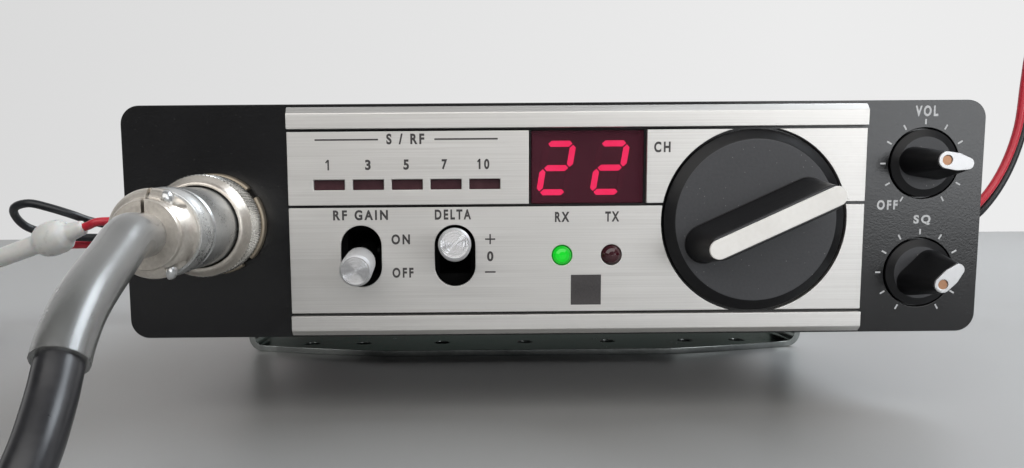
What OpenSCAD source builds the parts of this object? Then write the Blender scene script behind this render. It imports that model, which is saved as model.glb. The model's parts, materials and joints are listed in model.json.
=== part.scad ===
// Mobile two-way radio: front panel with knobs and toggles, case, tilting bracket,
// hand microphone on its cable and fused supply lead. Millimetres, +Z up, front faces -Y.

/* [Placement] */
// Height of the front panel's lower edge over the table
panel_lift = 20.2; // [17:0.2:30]
// Distance from the tilt axis to the front panel's face
front_reach = 98; // [92:1:110]

/* [Front panel] */
// Width of the moulded front panel
panel_w = 195; // [190:1:205]
// Height of the moulded front panel
panel_h = 52.8; // [52:0.2:58]
// Thickness of the moulded front panel
panel_t = 4; // [3.5:0.5:5]
// Corner radius of the front panel
panel_r = 4.2; // [3:0.2:8]
// Depth of the front housing's rim
panel_depth = 18; // [17.5:0.5:22]
// Wall of the front housing's rim
rim_t = 2.5; // [2:0.1:2.8]
// How far the aluminium plates stand proud
plate_t = 1.2; // [0.8:0.1:1.6]
// How far the aluminium rails stand proud
rail_t = 1.8; // [1.4:0.1:2.4]
// Height of each aluminium rail
rail_h = 4.6; // [4:0.1:4.8]
// Dark groove between rails and plates
groove = 0.6; // [0.4:0.1:0.8]

/* [Knobs] */
// Radius of the channel knob's skirt
channel_r = 20.6; // [19:0.1:20.8]
// Reach of the channel knob's pointer strip
channel_reach = 16.6; // [14:0.2:20]
// Radius of the small knobs' skirts
knob_r = 7.6; // [7:0.1:8.4]
// Reach of the small knobs
knob_reach = 13; // [11:0.5:16]
// Radius of all control shafts
shaft_r = 3; // [2.5:0.1:3.2]
// Gap round turning shafts
shaft_gap = 0.35; // [0.3:0.05:0.6]

/* [Toggles] */
// Radius of the toggle caps
cap_r = 3.55; // [3:0.05:4]
// Reach of the toggle caps from the panel
cap_reach = 12.9; // [11:0.1:15]
// Depth of the toggle pivots behind the panel
toggle_depth = 10; // [9:0.5:11]
// Half throw of a toggle lever in degrees
toggle_throw = 7; // [5:0.5:8]
// Width of the toggle slots
slot_w = 9.2; // [8.6:0.1:10]
// Height of the toggle slots
slot_h = 14; // [13:0.2:15]

/* [Microphone connection] */
// Radius of the slotted socket nut
nut_r = 11.4; // [11:0.1:12.4]
// Radius of the coupling ring
ring_r = 10.8; // [9.8:0.1:11]
// Length of the coupling ring
ring_len = 11.2; // [9:0.2:13]
// Radius of the plug body
plug_r = 8.3; // [7.6:0.1:8.5]
// Reach of the plug from the panel
plug_reach = 45; // [43:0.5:48]
// Gap between coupling ring and plug
ring_gap = 0.4; // [0.3:0.05:0.6]

/* [Cables] */
// Diameter of the microphone cable
cable_d = 6.6; // [6:0.1:6.8]
// Diameter of the clear sleeve
sleeve_d = 8; // [7.8:0.1:9]
// Diameter of each supply wire
wire_d = 3.2; // [2.6:0.1:3.2]

/* [Case] */
// Depth of the case behind the front housing
case_d = 156; // [150:1:170]
// Height of the case
case_h = 46; // [45:0.5:48]
// Sheet thickness of the covers
sheet = 1; // [0.8:0.1:1.2]
// Wall thickness of the chassis
wall = 1.2; // [1:0.1:1.5]

/* [Bracket] */
// Sheet thickness of the bracket
bracket_t = 2; // [1.5:0.1:3]
// Depth of the bracket's ears
ear_w = 22; // [18:1:26]
// Extra depth of the bracket's base at its middle
bow = 15; // [10:1:18]
// Outer radius of the bracket's bends
bend_r = 5; // [4:0.5:7]
// Radius of the holes in the base
hole_r = 2.6; // [2:0.1:3]
// Thickness of the rubber washers
washer_t = 2.35; // [2:0.05:2.8]
// Radius of the thumbscrew stud
stud_r = 2.5; // [2:0.1:2.6]
// Radius of the thumbscrew head
thumb_r = 9; // [7:0.5:10]
// Gap round the thumbscrew stud
stud_gap = 0.4; // [0.3:0.05:0.6]

/* [Hand microphone] */
// Width of the hand microphone
mic_w = 56; // [50:1:58]
// Length of the hand microphone
mic_l = 88; // [80:1:90]
// Thickness of the hand microphone
mic_h = 31; // [28:0.5:34]
// Wall of the microphone shells
mic_wall = 2; // [1.5:0.1:2.5]
// Travel of the talk bar
talk_travel = 2.5; // [1.5:0.1:3]

/* [Hidden] */
$fn = 64;
front_y = -front_reach;
pivot_z = panel_lift + panel_h/2;
case_y = front_y + panel_depth;
back_y = case_y + case_d;
// case sheet metal
chassis_w = panel_w - 19;
case_w = chassis_w + 2*sheet;
case_z0 = pivot_z - case_h/2;
case_z1 = pivot_z + case_h/2;
bracket_in = chassis_w/2 + washer_t + 0.15;
bracket_out = bracket_in + bracket_t;
// front layout, x from the centre, z from the panel's lower edge
al_x0 = -panel_w/2 + 37.3;
al_x1 = panel_w/2 - 27.2;
low_z0 = 0.4;
low_z1 = low_z0 + rail_h;
ctl_z0 = low_z1 + groove;
up_z1 = panel_h - 0.7;
up_z0 = up_z1 - rail_h - 0.3;
met_z1 = up_z0 - groove;
ctl_z1 = 29.6;
met_z0 = ctl_z1 + groove;
met_x1 = -5.9;
win_x0 = -5.3;
win_x1 = 20.1;
chp_x0 = 20.7;
ch_x = 45.2;
ch_z = 26.1;
cut_r = channel_r + 0.5;
knob_x = panel_w/2 - 13.6;
vol_z = 38.65;
sq_z = 13.8;
well_r = knob_r + 0.4;
tip_r = shaft_r - 1;
mic_x = -panel_w/2 + 20.7;
mic_z = 26.2;
gain_x = -44;
delta_x = -22.7;
slot_z = 18.6;
toggle_z = 19.2;
led_z = 18.5;
led_r = 2.25;
rx_x = 1.65;
tx_x = 12.9;
win5 = [-50.9, -42.1, -33.35, -24.6, -15.85];
// control directions in the photograph, degrees anticlockwise from +X
ch_turn = 24.3;
vol_turn = 170;
sq_turn = 225;
// front board behind the panel's face
board_w = panel_depth + 1;
board_x0 = -56;
board_x1 = 62;
board_z0 = panel_h/2 - case_h/2 + 2.1;
board_z1 = panel_h/2 + case_h/2 - 2.4;
// fittings on the case
jack_x = -chassis_w/2 + 13;
jack_z = pivot_z + 5.4;
aerial_z = pivot_z + 3.4;
screw_y = [case_y + 10, back_y - 21];
sink_w = chassis_w*4/11;
sink_x = chassis_w/2 - sink_w - 10;
sink_h = case_h - 12;
// hand microphone place
hand = [-217, -40, 0];
ring_bore = plug_r + ring_gap;
cable_r = cable_d/2;
wire_r = wire_d/2;

// Swept round cords: rings along smoothed hand-set points
function unit(v) = v/norm(v);
function cr(a, b, c, d, t) = 0.5*(2*b + (c - a)*t + (2*a - 5*b + 4*c - d)*t*t + (3*b - a - 3*c + d)*t*t*t);
function smooth(p, n) = let (m = len(p)) concat(
    [for (i = [0:m-2]) for (k = [0:n-1]) cr(p[max(i-1, 0)], p[i], p[i+1], p[min(i+2, m-1)], k/n)], [p[m-1]]);
function tangents(q) = [for (i = [0:len(q)-1]) unit(q[min(i+1, len(q)-1)] - q[max(i-1, 0)])];
function carry(t, i, u, out) = i == len(t) ? out :
    let (w = unit(u - (u*t[i])*t[i])) carry(t, i+1, w, concat(out, [w]));
function first_side(t) = abs(t[2]) < 0.9 ? cross([0, 0, 1], t) : cross([1, 0, 0], t);
function sides(t) = carry(t, 0, first_side(t[0]), []);
function part(q, a, b) = [for (i = [a:b]) q[i]];
function stretch(q, e) = let (n = len(q)-1) concat([q[0] - e*unit(q[1] - q[0])], q, [q[n] + e*unit(q[n] - q[n-1])]);
function path_len(q, i = 0, s = 0) = i == len(q)-1 ? s : path_len(q, i+1, s + norm(q[i+1] - q[i]));

module cord(q, r, s) {
    t = tangents(q);
    u = sides(t);
    n = len(q);
    pts = [for (i = [0:n-1]) let (v = cross(t[i], u[i])) for (k = [0:s-1])
        q[i] + r*(cos(360*k/s)*u[i] + sin(360*k/s)*v)];
    body = [for (i = [0:n-2]) for (k = [0:s-1])
        [i*s + k, (i+1)*s + k, (i+1)*s + (k+1)%s, i*s + (k+1)%s]];
    polyhedron(pts, concat([[for (k = [0:s-1]) k]], body, [[for (k = [s-1:-1:0]) (n-1)*s + k]]), convexity = 8);
}

// microphone cable, from the plug down to the table and to the coil
plug_end = [mic_x, front_y - plug_reach, panel_lift + mic_z];
cable_q = concat([plug_end], smooth([plug_end + [0, -2, 0], plug_end + [0, -7, 0], [-76.6, -157, 43.6], [-76, -169.5, 38.6], [-75.5, -177.5, 33.5],
    [-75, -183.5, 27], [-75, -190, 20.5], [-77, -198, 12], [-85, -205, 6], [-99, -207.5, cable_r + 0.2],
    [-115, -204.5, cable_r], [-134, -196, cable_r], [-153, -187.5, cable_r], [-163, -184, cable_r], [-170, -184, cable_r]], 3), [[-172, -184, cable_r]]);
sleeve_n = 14;
// flat coil of two layers: in, half a turn up, out again
coil_c = [-172, -140];
coil_r = 44;
coil_pitch = cable_d + 1.8;
coil_step = cable_d + 0.7;
coil_in = 1.375;
coil_up = 0.5;
coil_turns = 2*coil_in + coil_up;
function ease(x) = let (c = max(0, min(1, x))) c*c*(3 - 2*c);
function coil_at(n) = let (
    r = coil_r - coil_pitch*(n < coil_in ? n : n < coil_in + coil_up ? coil_in : coil_turns - n),
    a = 270 - 360*n, z = cable_r + coil_step*ease((n - coil_in)/coil_up))
    [coil_c[0] + r*cos(a), coil_c[1] + r*sin(a), z];
coil_n = ceil(24*coil_turns);
coil_core = [for (i = [0:coil_n]) coil_at(coil_turns*i/coil_n)];
coil_end = coil_core[coil_n] + [0, cable_d, 0];
coil_q = concat([coil_core[0], coil_core[0] - [3, 0, 0]], part(coil_core, 1, coil_n), [coil_end]);
coil_gap = min([for (i = [0:coil_n-12]) for (j = [i+12:coil_n]) norm(coil_core[i] - coil_core[j])]) - cable_d;
echo(coil_least_gap = coil_gap);
boot_end = hand + [0, -mic_l/2 - 12, 14];
tail_q = concat([coil_end], smooth([coil_end + [0, 2, 0], coil_end + [0, 7, 0.4], [-216.6, -114, 12.6], boot_end + [0, -6.6, 0], boot_end + [0, -2, 0]], 3), [boot_end]);
echo(mic_cable_length = path_len(cable_q) + path_len(coil_q) + path_len(tail_q));

// supply wires: red through the fuse holder, black in a springy loop round it
grommet = [-43, back_y, pivot_z - 8.1];
red_start = grommet + [-3, 4, 1.5];
black_start = grommet + [2.8, 4, -1.5];
fuse_a = [-163.2, 30, 40.4];
fuse_d = unit([-0.92, 0.12, -0.31]);
fuse_len = 66;
fuse_b = fuse_a + fuse_len*fuse_d;
red_in_q = concat([red_start], smooth([red_start + [0, 2, 0], red_start + [0, 8, 0], [-57, back_y + 22, 40.5], [-80, back_y + 25, 41], [-112, 88, 42], [-132, 64, 42.2],
    [-142, 46, 42.3], [-150.5, 34, 42.4], fuse_a - 6*fuse_d, fuse_a - 2*fuse_d], 3), [fuse_a]);
red_out_q = concat([fuse_b], smooth([fuse_b + 2*fuse_d, fuse_b + 6*fuse_d, [-236.6, 43, 10.6], [-239, 49.6, 7.4], [-235, 57, 8.6], [-226, 60, 15], [-213.5, 57.4, 24], [-202, 55, 28.6],
    [-189, 54, 31.6], [-176, 54, 32.2], [-165, 56.4, 32], [-150, 63.6, 31], [-128, 81.4, 28], [-100, 100.8, 20.6], [-70, 113, 10], [-40, 117, 3.2],
    [-10, 118, wire_r], [30, 117.5, wire_r], [66, 115, wire_r], [100, 107, wire_r], [128, 96, 5], [152, 84, 15], [174, 71, 29.5], [188, 63, 40],
    [195.4, 60, 48.3], [202.9, 60, 61], [207.7, 60, 77], [209.2, 60, 94.9], [211.2, 61, 108], [217, 64, 119.5], [228, 68, 124],
    [239, 72, 118], [245.5, 75, 102], [249, 77, 76], [251.5, 78, 46], [253.5, 78, 20], [256, 75, 8], [260, 66, 4], [261, 56, 4], [261, 50, 4]], 2), [[261, 48, 4]]);
black_q = concat([black_start], smooth([black_start + [0, 2, 0], black_start + [0, 8, 0], [-52, back_y + 27, 38], [-80, back_y + 31, 38.6], [-114, 96.4, 38.4], [-139, 71.4, 38.4],
    [-155, 54.4, 38.9], [-165.1, 43, 41.8], [-170.8, 37, 44.9], [-178, 34, 47.7], [-185.2, 33.4, 49.4], [-191.9, 35.6, 47.8], [-193.8, 40, 43.9],
    [-191.5, 44.6, 39.6], [-183.5, 48, 36.6], [-171.3, 51, 35.2], [-152, 58.4, 34.9], [-131, 75.4, 33.4], [-103.5, 95, 26.6], [-72, 107.2, 15.6], [-41, 112.2, 6],
    [-10, 113.6, wire_r], [30, 113.1, wire_r], [65, 110.6, wire_r], [98, 102.8, wire_r], [126, 92, 3.6], [152, 80, 11.5], [176, 70.6, 25.4], [191, 65, 37],
    [199.2, 63, 46.2], [206.7, 62.8, 59.6], [211.6, 62.8, 76.2], [213, 62.8, 94.4], [214.6, 63.8, 106.4], [219.6, 66, 115.4], [227.6, 68.6, 119.4],
    [235.8, 71, 115], [241.6, 73.8, 100.4], [245, 75.4, 75.4], [247.4, 76, 45.6], [249.6, 76, 20], [252, 73, 8.6], [255.6, 65, 4.2], [256.6, 56, 4], [256.6, 50, 4]], 2), [[256.6, 48, 4]]);
echo(red_length = path_len(red_in_q) + fuse_len + path_len(red_out_q), black_length = path_len(black_q));
echo(wire_least_gap = min([for (a = concat(red_in_q, red_out_q)) for (b = black_q) norm(a - b)]) - wire_d);

// Shared shapes, in the panel's own frame: x, z and w, the height out of the face
module on_panel() translate([0, front_y, panel_lift]) children();
module slab(x0, x1, z0, z1, w0, w1) translate([x0, -w1, z0]) cube([x1-x0, w1-w0, z1-z0]);
module boss(x, z, w0, w1, r) translate([x, -w0, z]) rotate([90, 0, 0]) cylinder(r = r, h = w1-w0);
module turned(x, z, pts) translate([x, 0, z]) rotate([90, 0, 0]) rotate_extrude() polygon(pts);
module stadium(x, z, w0, w1, sw, sh) {
    slab(x-sw/2, x+sw/2, z-sh/2+sw/2, z+sh/2-sw/2, w0, w1);
    for (s = [-1, 1]) boss(x, z + s*(sh-sw)/2, w0, w1, sw/2);
}
module strip(x0, x1, profile) translate([x0, 0, 0]) rotate([90, 0, 90]) linear_extrude(x1-x0) polygon(profile);
module side_rod(x0, x1, y, z, r) translate([x0, y, z]) rotate([0, 90, 0]) cylinder(r = r, h = x1-x0);
module rear_rod(x, z, y0, y1, r) translate([x, y0, z]) rotate([-90, 0, 0]) cylinder(r = r, h = y1-y0);

module mounting_bracket() color([0.55, 0.57, 0.53]) {
    flat = bracket_out - bend_r;
    big = (flat*flat + bow*bow)/(2*bow);
    off = big - ear_w/2 - bow;
    difference() {
        union() {
            intersection() {
                translate([-flat, -ear_w, 0]) cube([2*flat, 2*ear_w, bracket_t]);
                translate([0, off, -1]) cylinder(r = big, h = bracket_t+2, $fn = 256);
                translate([0, -off, -1]) cylinder(r = big, h = bracket_t+2, $fn = 256);
            }
            for (s = [-1, 1]) {
                intersection() {
                    difference() {
                        translate([s*flat, -ear_w/2, bend_r]) rotate([-90, 0, 0]) cylinder(r = bend_r, h = ear_w);
                        translate([s*flat, -ear_w/2-1, bend_r]) rotate([-90, 0, 0]) cylinder(r = bend_r-bracket_t, h = ear_w+2);
                    }
                    translate([s > 0 ? flat : -flat-bend_r, -ear_w/2, 0]) cube([bend_r, ear_w, bend_r]);
                }
                translate([s > 0 ? bracket_in : -bracket_out, -ear_w/2, bend_r]) cube([bracket_t, ear_w, pivot_z-bend_r]);
                side_rod(s > 0 ? bracket_in : -bracket_out, s > 0 ? bracket_out : -bracket_in, 0, pivot_z, ear_w/2);
            }
        }
        for (x = [-72, -54.5, -28, 0, 28, 54.5, 72]) translate([x, -8, -1]) cylinder(r = hole_r, h = bracket_t+2);
        side_rod(-bracket_out-1, bracket_out+1, 0, pivot_z, stud_r + stud_gap);
    }
}

module rounded(inset, w0, w1) {
    r = panel_r - inset;
    slab(-panel_w/2+panel_r, panel_w/2-panel_r, inset, panel_h-inset, w0, w1);
    slab(-panel_w/2+inset, panel_w/2-inset, panel_r, panel_h-panel_r, w0, w1);
    for (x = [-1, 1]) for (z = [panel_r, panel_h-panel_r]) boss(x*(panel_w/2-panel_r), z, w0, w1, r);
}
module front_panel() color([0.09, 0.09, 0.1]) on_panel() difference() {
    union() {
        difference() {
            rounded(0, -panel_depth, 0);
            rounded(rim_t, -panel_depth-1, -panel_t);
        }
        for (x = [al_x0-1.8, al_x1-1.8]) for (z = [6, panel_h-6]) boss(x, z, -panel_depth+wall, -panel_t+0.1, 3.2);
    }
    slab(win_x0, win_x1, met_z0, met_z1, -panel_t-1, 1);
    slab(win5[0]-5, win5[4]+5, 32.2, 37.2, -panel_t-1, 1);
    for (x = [gain_x, delta_x]) stadium(x, slot_z, -panel_t-1, 1, slot_w+0.6, slot_h+0.6);
    for (x = [rx_x, tx_x]) boss(x, led_z, -panel_t-1, 1, led_r+0.3);
    boss(ch_x, ch_z, -panel_t-1, 1, shaft_r+2.1);
    for (z = [vol_z, sq_z]) { boss(knob_x, z, -1.4, 1, well_r); boss(knob_x, z, -panel_t-1, 1, shaft_r+1.1); }
    boss(mic_x, mic_z, -panel_t-1, 1, plug_r-0.1);
}

module trim_rails() color([0.78, 0.76, 0.73]) on_panel() {
    strip(al_x0, al_x1, [[0, up_z0], [-rail_t, up_z0], [-rail_t, up_z0+3.4], [-0.5, up_z1], [0, up_z1]]);
    strip(al_x0, al_x1, [[0, low_z0], [-0.6, low_z0], [-rail_t, low_z0+1.2], [-rail_t, low_z1], [0, low_z1]]);
}
module meter_plate() color([0.77, 0.75, 0.72]) on_panel() difference() {
    slab(al_x0, met_x1, met_z0, met_z1, 0, plate_t);
    for (x = win5) slab(x-3.5, x+3.5, 33.6, 35.9, -1, plate_t+1);
}
module channel_plate() color([0.8, 0.79, 0.77]) on_panel() difference() {
    slab(chp_x0, al_x1, met_z0, met_z1, 0, plate_t);
    boss(ch_x, ch_z, -1, plate_t+1, cut_r);
}
module control_plate() color([0.77, 0.76, 0.73]) on_panel() difference() {
    slab(al_x0, al_x1, ctl_z0, ctl_z1, 0, plate_t);
    boss(ch_x, ch_z, -1, plate_t+1, cut_r);
    for (x = [gain_x, delta_x]) stadium(x, slot_z, -1, plate_t+1, slot_w, slot_h);
    for (x = [rx_x, tx_x]) boss(x, led_z, -1, plate_t+1, led_r+0.1);
}
module meter_filter() color([0.25, 0.06, 0.08]) on_panel() slab(win5[0]-4.9, win5[4]+4.9, 32.3, 37.1, -1.4, 0);
module display_window() color([0.2, 0.03, 0.06]) on_panel() slab(win_x0+0.1, win_x1-0.1, met_z0+0.1, met_z1-0.1, -1.5, 0.4);
module display_module() color([0.12, 0.05, 0.06]) on_panel() slab(win_x0+0.4, win_x1-0.4, met_z0+0.4, met_z1-0.4, -board_w, -2.6);

// one slanted seven-segment bar: s picks the segment
seg_t = 1.35;
seg_h = 12.35;
function lean(p) = [p[0] + p[1]*tan(9.5), p[1]];
module segment(cx, cz, s) {
    h = seg_h/2 - seg_t/2;
    v = s == "b" || s == "c" || s == "e" || s == "f";
    mx = s == "b" || s == "c" ? 3 : s == "e" || s == "f" ? -3 : 0;
    mz = s == "a" ? h : s == "d" ? -h : s == "b" || s == "f" ? h/2 : s == "c" || s == "e" ? -h/2 : 0;
    l = (v ? h/2 : 3) - 0.25;
    k = seg_t/2;
    flat = v ? [[0, -l], [k, -l+k], [k, l-k], [0, l], [-k, l-k], [-k, -l+k]] : [[-l, 0], [-l+k, -k], [l-k, -k], [l, 0], [l-k, k], [-l+k, k]];
    translate([cx, 2.6, cz]) rotate([90, 0, 0]) linear_extrude(0.3) polygon([for (p = flat) lean([p[0]+mx, p[1]+mz])]);
}
module lit_segments() color([1, 0.15, 0.3]) on_panel()
    for (x = [0.65, 12.95]) for (s = ["a", "b", "g", "e", "d"]) segment(x, 38.25, s);
module lamp(x) on_panel() turned(x, led_z, [[0, -9], [led_r, -9], [led_r, 0.9], [led_r*0.92, 1.5], [led_r*0.7, 2.05], [led_r*0.38, 2.4], [0, 2.5]]);
module rx_lamp() color([0.1, 0.85, 0.15]) lamp(rx_x);
module tx_lamp() color([0.3, 0.05, 0.08]) lamp(tx_x);

module mic_socket() color([0.6, 0.57, 0.5]) on_panel() difference() {
    turned(mic_x, mic_z, [[0, -12], [plug_r-0.3, -12], [plug_r-0.3, 0], [nut_r, 0], [nut_r, 1.8], [nut_r-0.4, 2.2],
        [plug_r-0.1, 2.2], [plug_r-0.1, 11], [plug_r-1.5, 11], [plug_r-1.5, 4], [0, 4]]);
    for (a = [39, 129, 219, 309]) translate([mic_x, 0, mic_z]) rotate([0, -a, 0]) translate([nut_r-1.3, -3, -1.2]) cube([4, 3.01, 2.4]);
}
module coupling_ring() color([0.7, 0.67, 0.6]) on_panel()
    turned(mic_x, mic_z, [[ring_bore, 3], [ring_r-0.3, 3], [ring_r, 3.3], [ring_r, 0.9+ring_len], [ring_r-0.3, 1.3+ring_len],
        [ring_bore+0.9, 3+ring_len], [ring_bore+0.5, 3.4+ring_len], [ring_bore, 3.4+ring_len]]);
module mic_plug() color([0.68, 0.66, 0.62]) on_panel()
    turned(mic_x, mic_z, [[0, 4.2], [plug_r-1.9, 4.2], [plug_r-1.9, 11], [plug_r, 11], [plug_r, plug_reach-15.4], [plug_r-0.35, plug_reach-15.1],
        [plug_r-0.35, plug_reach-14.6], [plug_r-0.05, plug_reach-14.1], [plug_r+0.15, plug_reach-13], [plug_r+0.15, plug_reach-12],
        [plug_r-0.1, plug_reach-10.6], [plug_r-0.5, plug_reach-9.3], [plug_r-0.65, plug_reach-8.4], [plug_r-0.65, plug_reach-8],
        [plug_r-0.2, plug_reach-7.6], [plug_r-0.2, plug_reach-7], [0, plug_reach-7]]);
// two screws draw the split clamp's heavier left half against its waisted right half
module at_clamp_screws() for (z = [plug_r-2, 1.5-plug_r]) translate([mic_x+2.4, -plug_reach+4.6, mic_z+z]) rotate([0, 90, 0]) children();
module cable_clamp() color([0.66, 0.62, 0.57]) on_panel() difference() {
    union() {
        turned(mic_x, mic_z, [[0, plug_reach-7], [plug_r-0.75, plug_reach-7], [plug_r-0.7, plug_reach-5.8], [plug_r-0.85, plug_reach-4.8],
            [plug_r-1.5, plug_reach-3.2], [plug_r-2.25, plug_reach-2], [plug_r-2.35, plug_reach-1.6], [plug_r-2, plug_reach-1.3],
            [plug_r-1.95, plug_reach-0.5], [plug_r-2.2, plug_reach], [0, plug_reach]]);
        intersection() {
            turned(mic_x, mic_z, [[0, plug_reach-7], [plug_r-0.1, plug_reach-7], [plug_r-0.1, plug_reach-4.4], [plug_r-0.4, plug_reach-3.6],
                [plug_r-1.7, plug_reach-2.4], [0, plug_reach-2.4]]);
            slab(mic_x-plug_r-1, mic_x+2.4, mic_z-plug_r-1, mic_z+plug_r+1, plug_reach-8, plug_reach);
        }
    }
    slab(mic_x-0.3, mic_x+0.3, mic_z+2, mic_z+plug_r+1, plug_reach-5.6, plug_reach+1);
    at_clamp_screws() {
        cylinder(r = 1.9, h = 10);
        translate([0, 0, -4.2]) cylinder(r = 1, h = 5);
    }
}
module clamp_screws() color([0.72, 0.7, 0.66]) on_panel() at_clamp_screws()
    rotate_extrude() polygon([[0, -3.9], [0.9, -3.9], [0.9, 0], [1.55, 0], [1.55, 0.5], [1.3, 1.1], [0.75, 1.5], [0, 1.6]]);
module cable_sleeve() color([0.8, 0.8, 0.76]) difference() {
    cord(part(cable_q, 0, sleeve_n), sleeve_d/2, 12);
    cord(stretch(part(cable_q, 0, sleeve_n), 1), cable_r + 0.2, 12);
}
module mic_cable() color([0.06, 0.06, 0.07]) cord(cable_q, cable_r, 10);
module mic_cable_coil() color([0.06, 0.06, 0.07]) cord(coil_q, cable_r, 6);
module mic_cable_tail() color([0.06, 0.06, 0.07]) cord(tail_q, cable_r, 10);

module channel_knob() color([0.13, 0.13, 0.14]) on_panel() translate([ch_x, 0, ch_z]) difference() {
    union() {
        turned(0, 0, [[0, 0.7], [channel_r-0.6, 0.7], [channel_r, 1.1], [channel_r-2.4, 2.6], [0, 2.6]]);
        rotate([90, -ch_turn+90, 0]) hull() for (s = [-1, 1]) translate([0, 0, 2.5]) {
            translate([0, s*12.6, 0]) cylinder(r1 = 4.3, r2 = 2.7, h = channel_reach-3.3, $fn = 40);
        }
    }
    boss(0, 0, -1, 8.2, shaft_r+0.04);
}
module channel_pointer() color([0.9, 0.88, 0.84]) on_panel() translate([ch_x, 0, ch_z]) rotate([0, -ch_turn, 0]) {
    slab(-13.4, 13.4, -2.1, 2.1, channel_reach-0.8, channel_reach);
    for (s = [-1, 1]) boss(s*13.4, 0, channel_reach-0.8, channel_reach, 2.1);
}
module shaft(x, z, w0, w1) on_panel() boss(x, z, w0, w1, shaft_r);
module channel_shaft() color([0.7, 0.7, 0.68]) shaft(ch_x, ch_z, -17, 8);
module small_knob(z, turn) on_panel() translate([knob_x, 0, z]) difference() {
    union() {
        turned(0, 0, [[0, -0.8], [knob_r-0.3, -0.8], [knob_r, -0.5], [knob_r, 0.2], [knob_r-1.7, 0.8], [0, 0.8]]);
        rotate([90, 90-turn, 0]) hull() for (s = [-1, 1]) {
            translate([0, s*(knob_r-4.75), 0.3]) cylinder(r = 3.2, h = 0.8, $fn = 36);
            translate([0, s > 0 ? 2 : -2.45, knob_reach-0.7]) cylinder(r = s > 0 ? 1.95 : 1.5, h = 0.1, $fn = 36);
        }
    }
    boss(0, 0, -2, 0.2, shaft_r+0.04);
    boss(0, 0, 0, 6.2, tip_r+0.04);
}
module small_pointer(z, turn) on_panel() translate([knob_x, 0, z]) rotate([0, -turn, 0]) difference() {
    hull() {
        boss(2, 0, knob_reach-0.6, knob_reach, 1.8);
        boss(-0.2, 0, knob_reach-0.6, knob_reach, 1.85);
        boss(-2.5, 0, knob_reach-0.6, knob_reach, 1.3);
    }
    boss(1.95, 0, knob_reach-0.3, knob_reach+1, 1.05);
}
module volume_knob() color([0.07, 0.07, 0.08]) small_knob(vol_z, vol_turn);
module squelch_knob() color([0.07, 0.07, 0.08]) small_knob(sq_z, sq_turn);
module volume_pointer() color([0.92, 0.92, 0.92]) small_pointer(vol_z, vol_turn);
module squelch_pointer() color([0.92, 0.92, 0.92]) small_pointer(sq_z, sq_turn);
module stepped_shaft(z) { shaft(knob_x, z, -13, 0); on_panel() boss(knob_x, z, -1, 6, tip_r); }
module volume_shaft() color([0.7, 0.7, 0.68]) stepped_shaft(vol_z);
module squelch_shaft() color([0.7, 0.7, 0.68]) stepped_shaft(sq_z);

module lever(x, turn) on_panel() translate([x, toggle_depth, toggle_z]) rotate([turn, 0, 0]) {
    turned(0, 0, [[0, -3], [1.6, -2.6], [2.6, -1.4], [2.9, 0], [2.6, 1.4], [1.7, 2.4], [1.7, toggle_depth+3.6], [cap_r-0.35, toggle_depth+3.6],
        [cap_r-0.1, toggle_depth+4], [cap_r, toggle_depth+cap_reach-0.5], [cap_r-0.5, toggle_depth+cap_reach], [0, toggle_depth+cap_reach]]);
    side_rod(-5.4, 5.4, 0, 0, 1);
}
module gain_lever() color([0.8, 0.79, 0.8]) lever(gain_x, toggle_throw);
module delta_lever() color([0.8, 0.79, 0.8]) lever(delta_x, -toggle_throw);
module toggle_switches() color([0.05, 0.05, 0.05]) on_panel() for (x = [gain_x, delta_x]) difference() {
    slab(x-6.2, x+6.2, slot_z-9.5, slot_z+9.5, -board_w, -panel_t);
    slab(x-3.7, x+3.7, toggle_z-5.2, toggle_z+5.2, -toggle_depth-4, 0);
    translate([0, toggle_depth, 0]) side_rod(x-5.8, x+5.8, 0, toggle_z, 1.35);
}
module rotary_controls() color([0.38, 0.38, 0.36]) on_panel() {
    difference() {
        union() {
            boss(ch_x, ch_z, -board_w, -panel_t, 13);
            boss(ch_x, ch_z, -panel_t-0.5, -0.4, shaft_r+1.9);
        }
        boss(ch_x, ch_z, -17.6, 1, shaft_r+shaft_gap);
    }
    for (z = [vol_z, sq_z]) difference() {
        union() {
            boss(knob_x, z, -16, -panel_t, 8.2);
            boss(knob_x, z, -panel_t-0.5, -1.6, shaft_r+1);
        }
        boss(knob_x, z, -13.6, 1, shaft_r+shaft_gap);
    }
}

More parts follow.
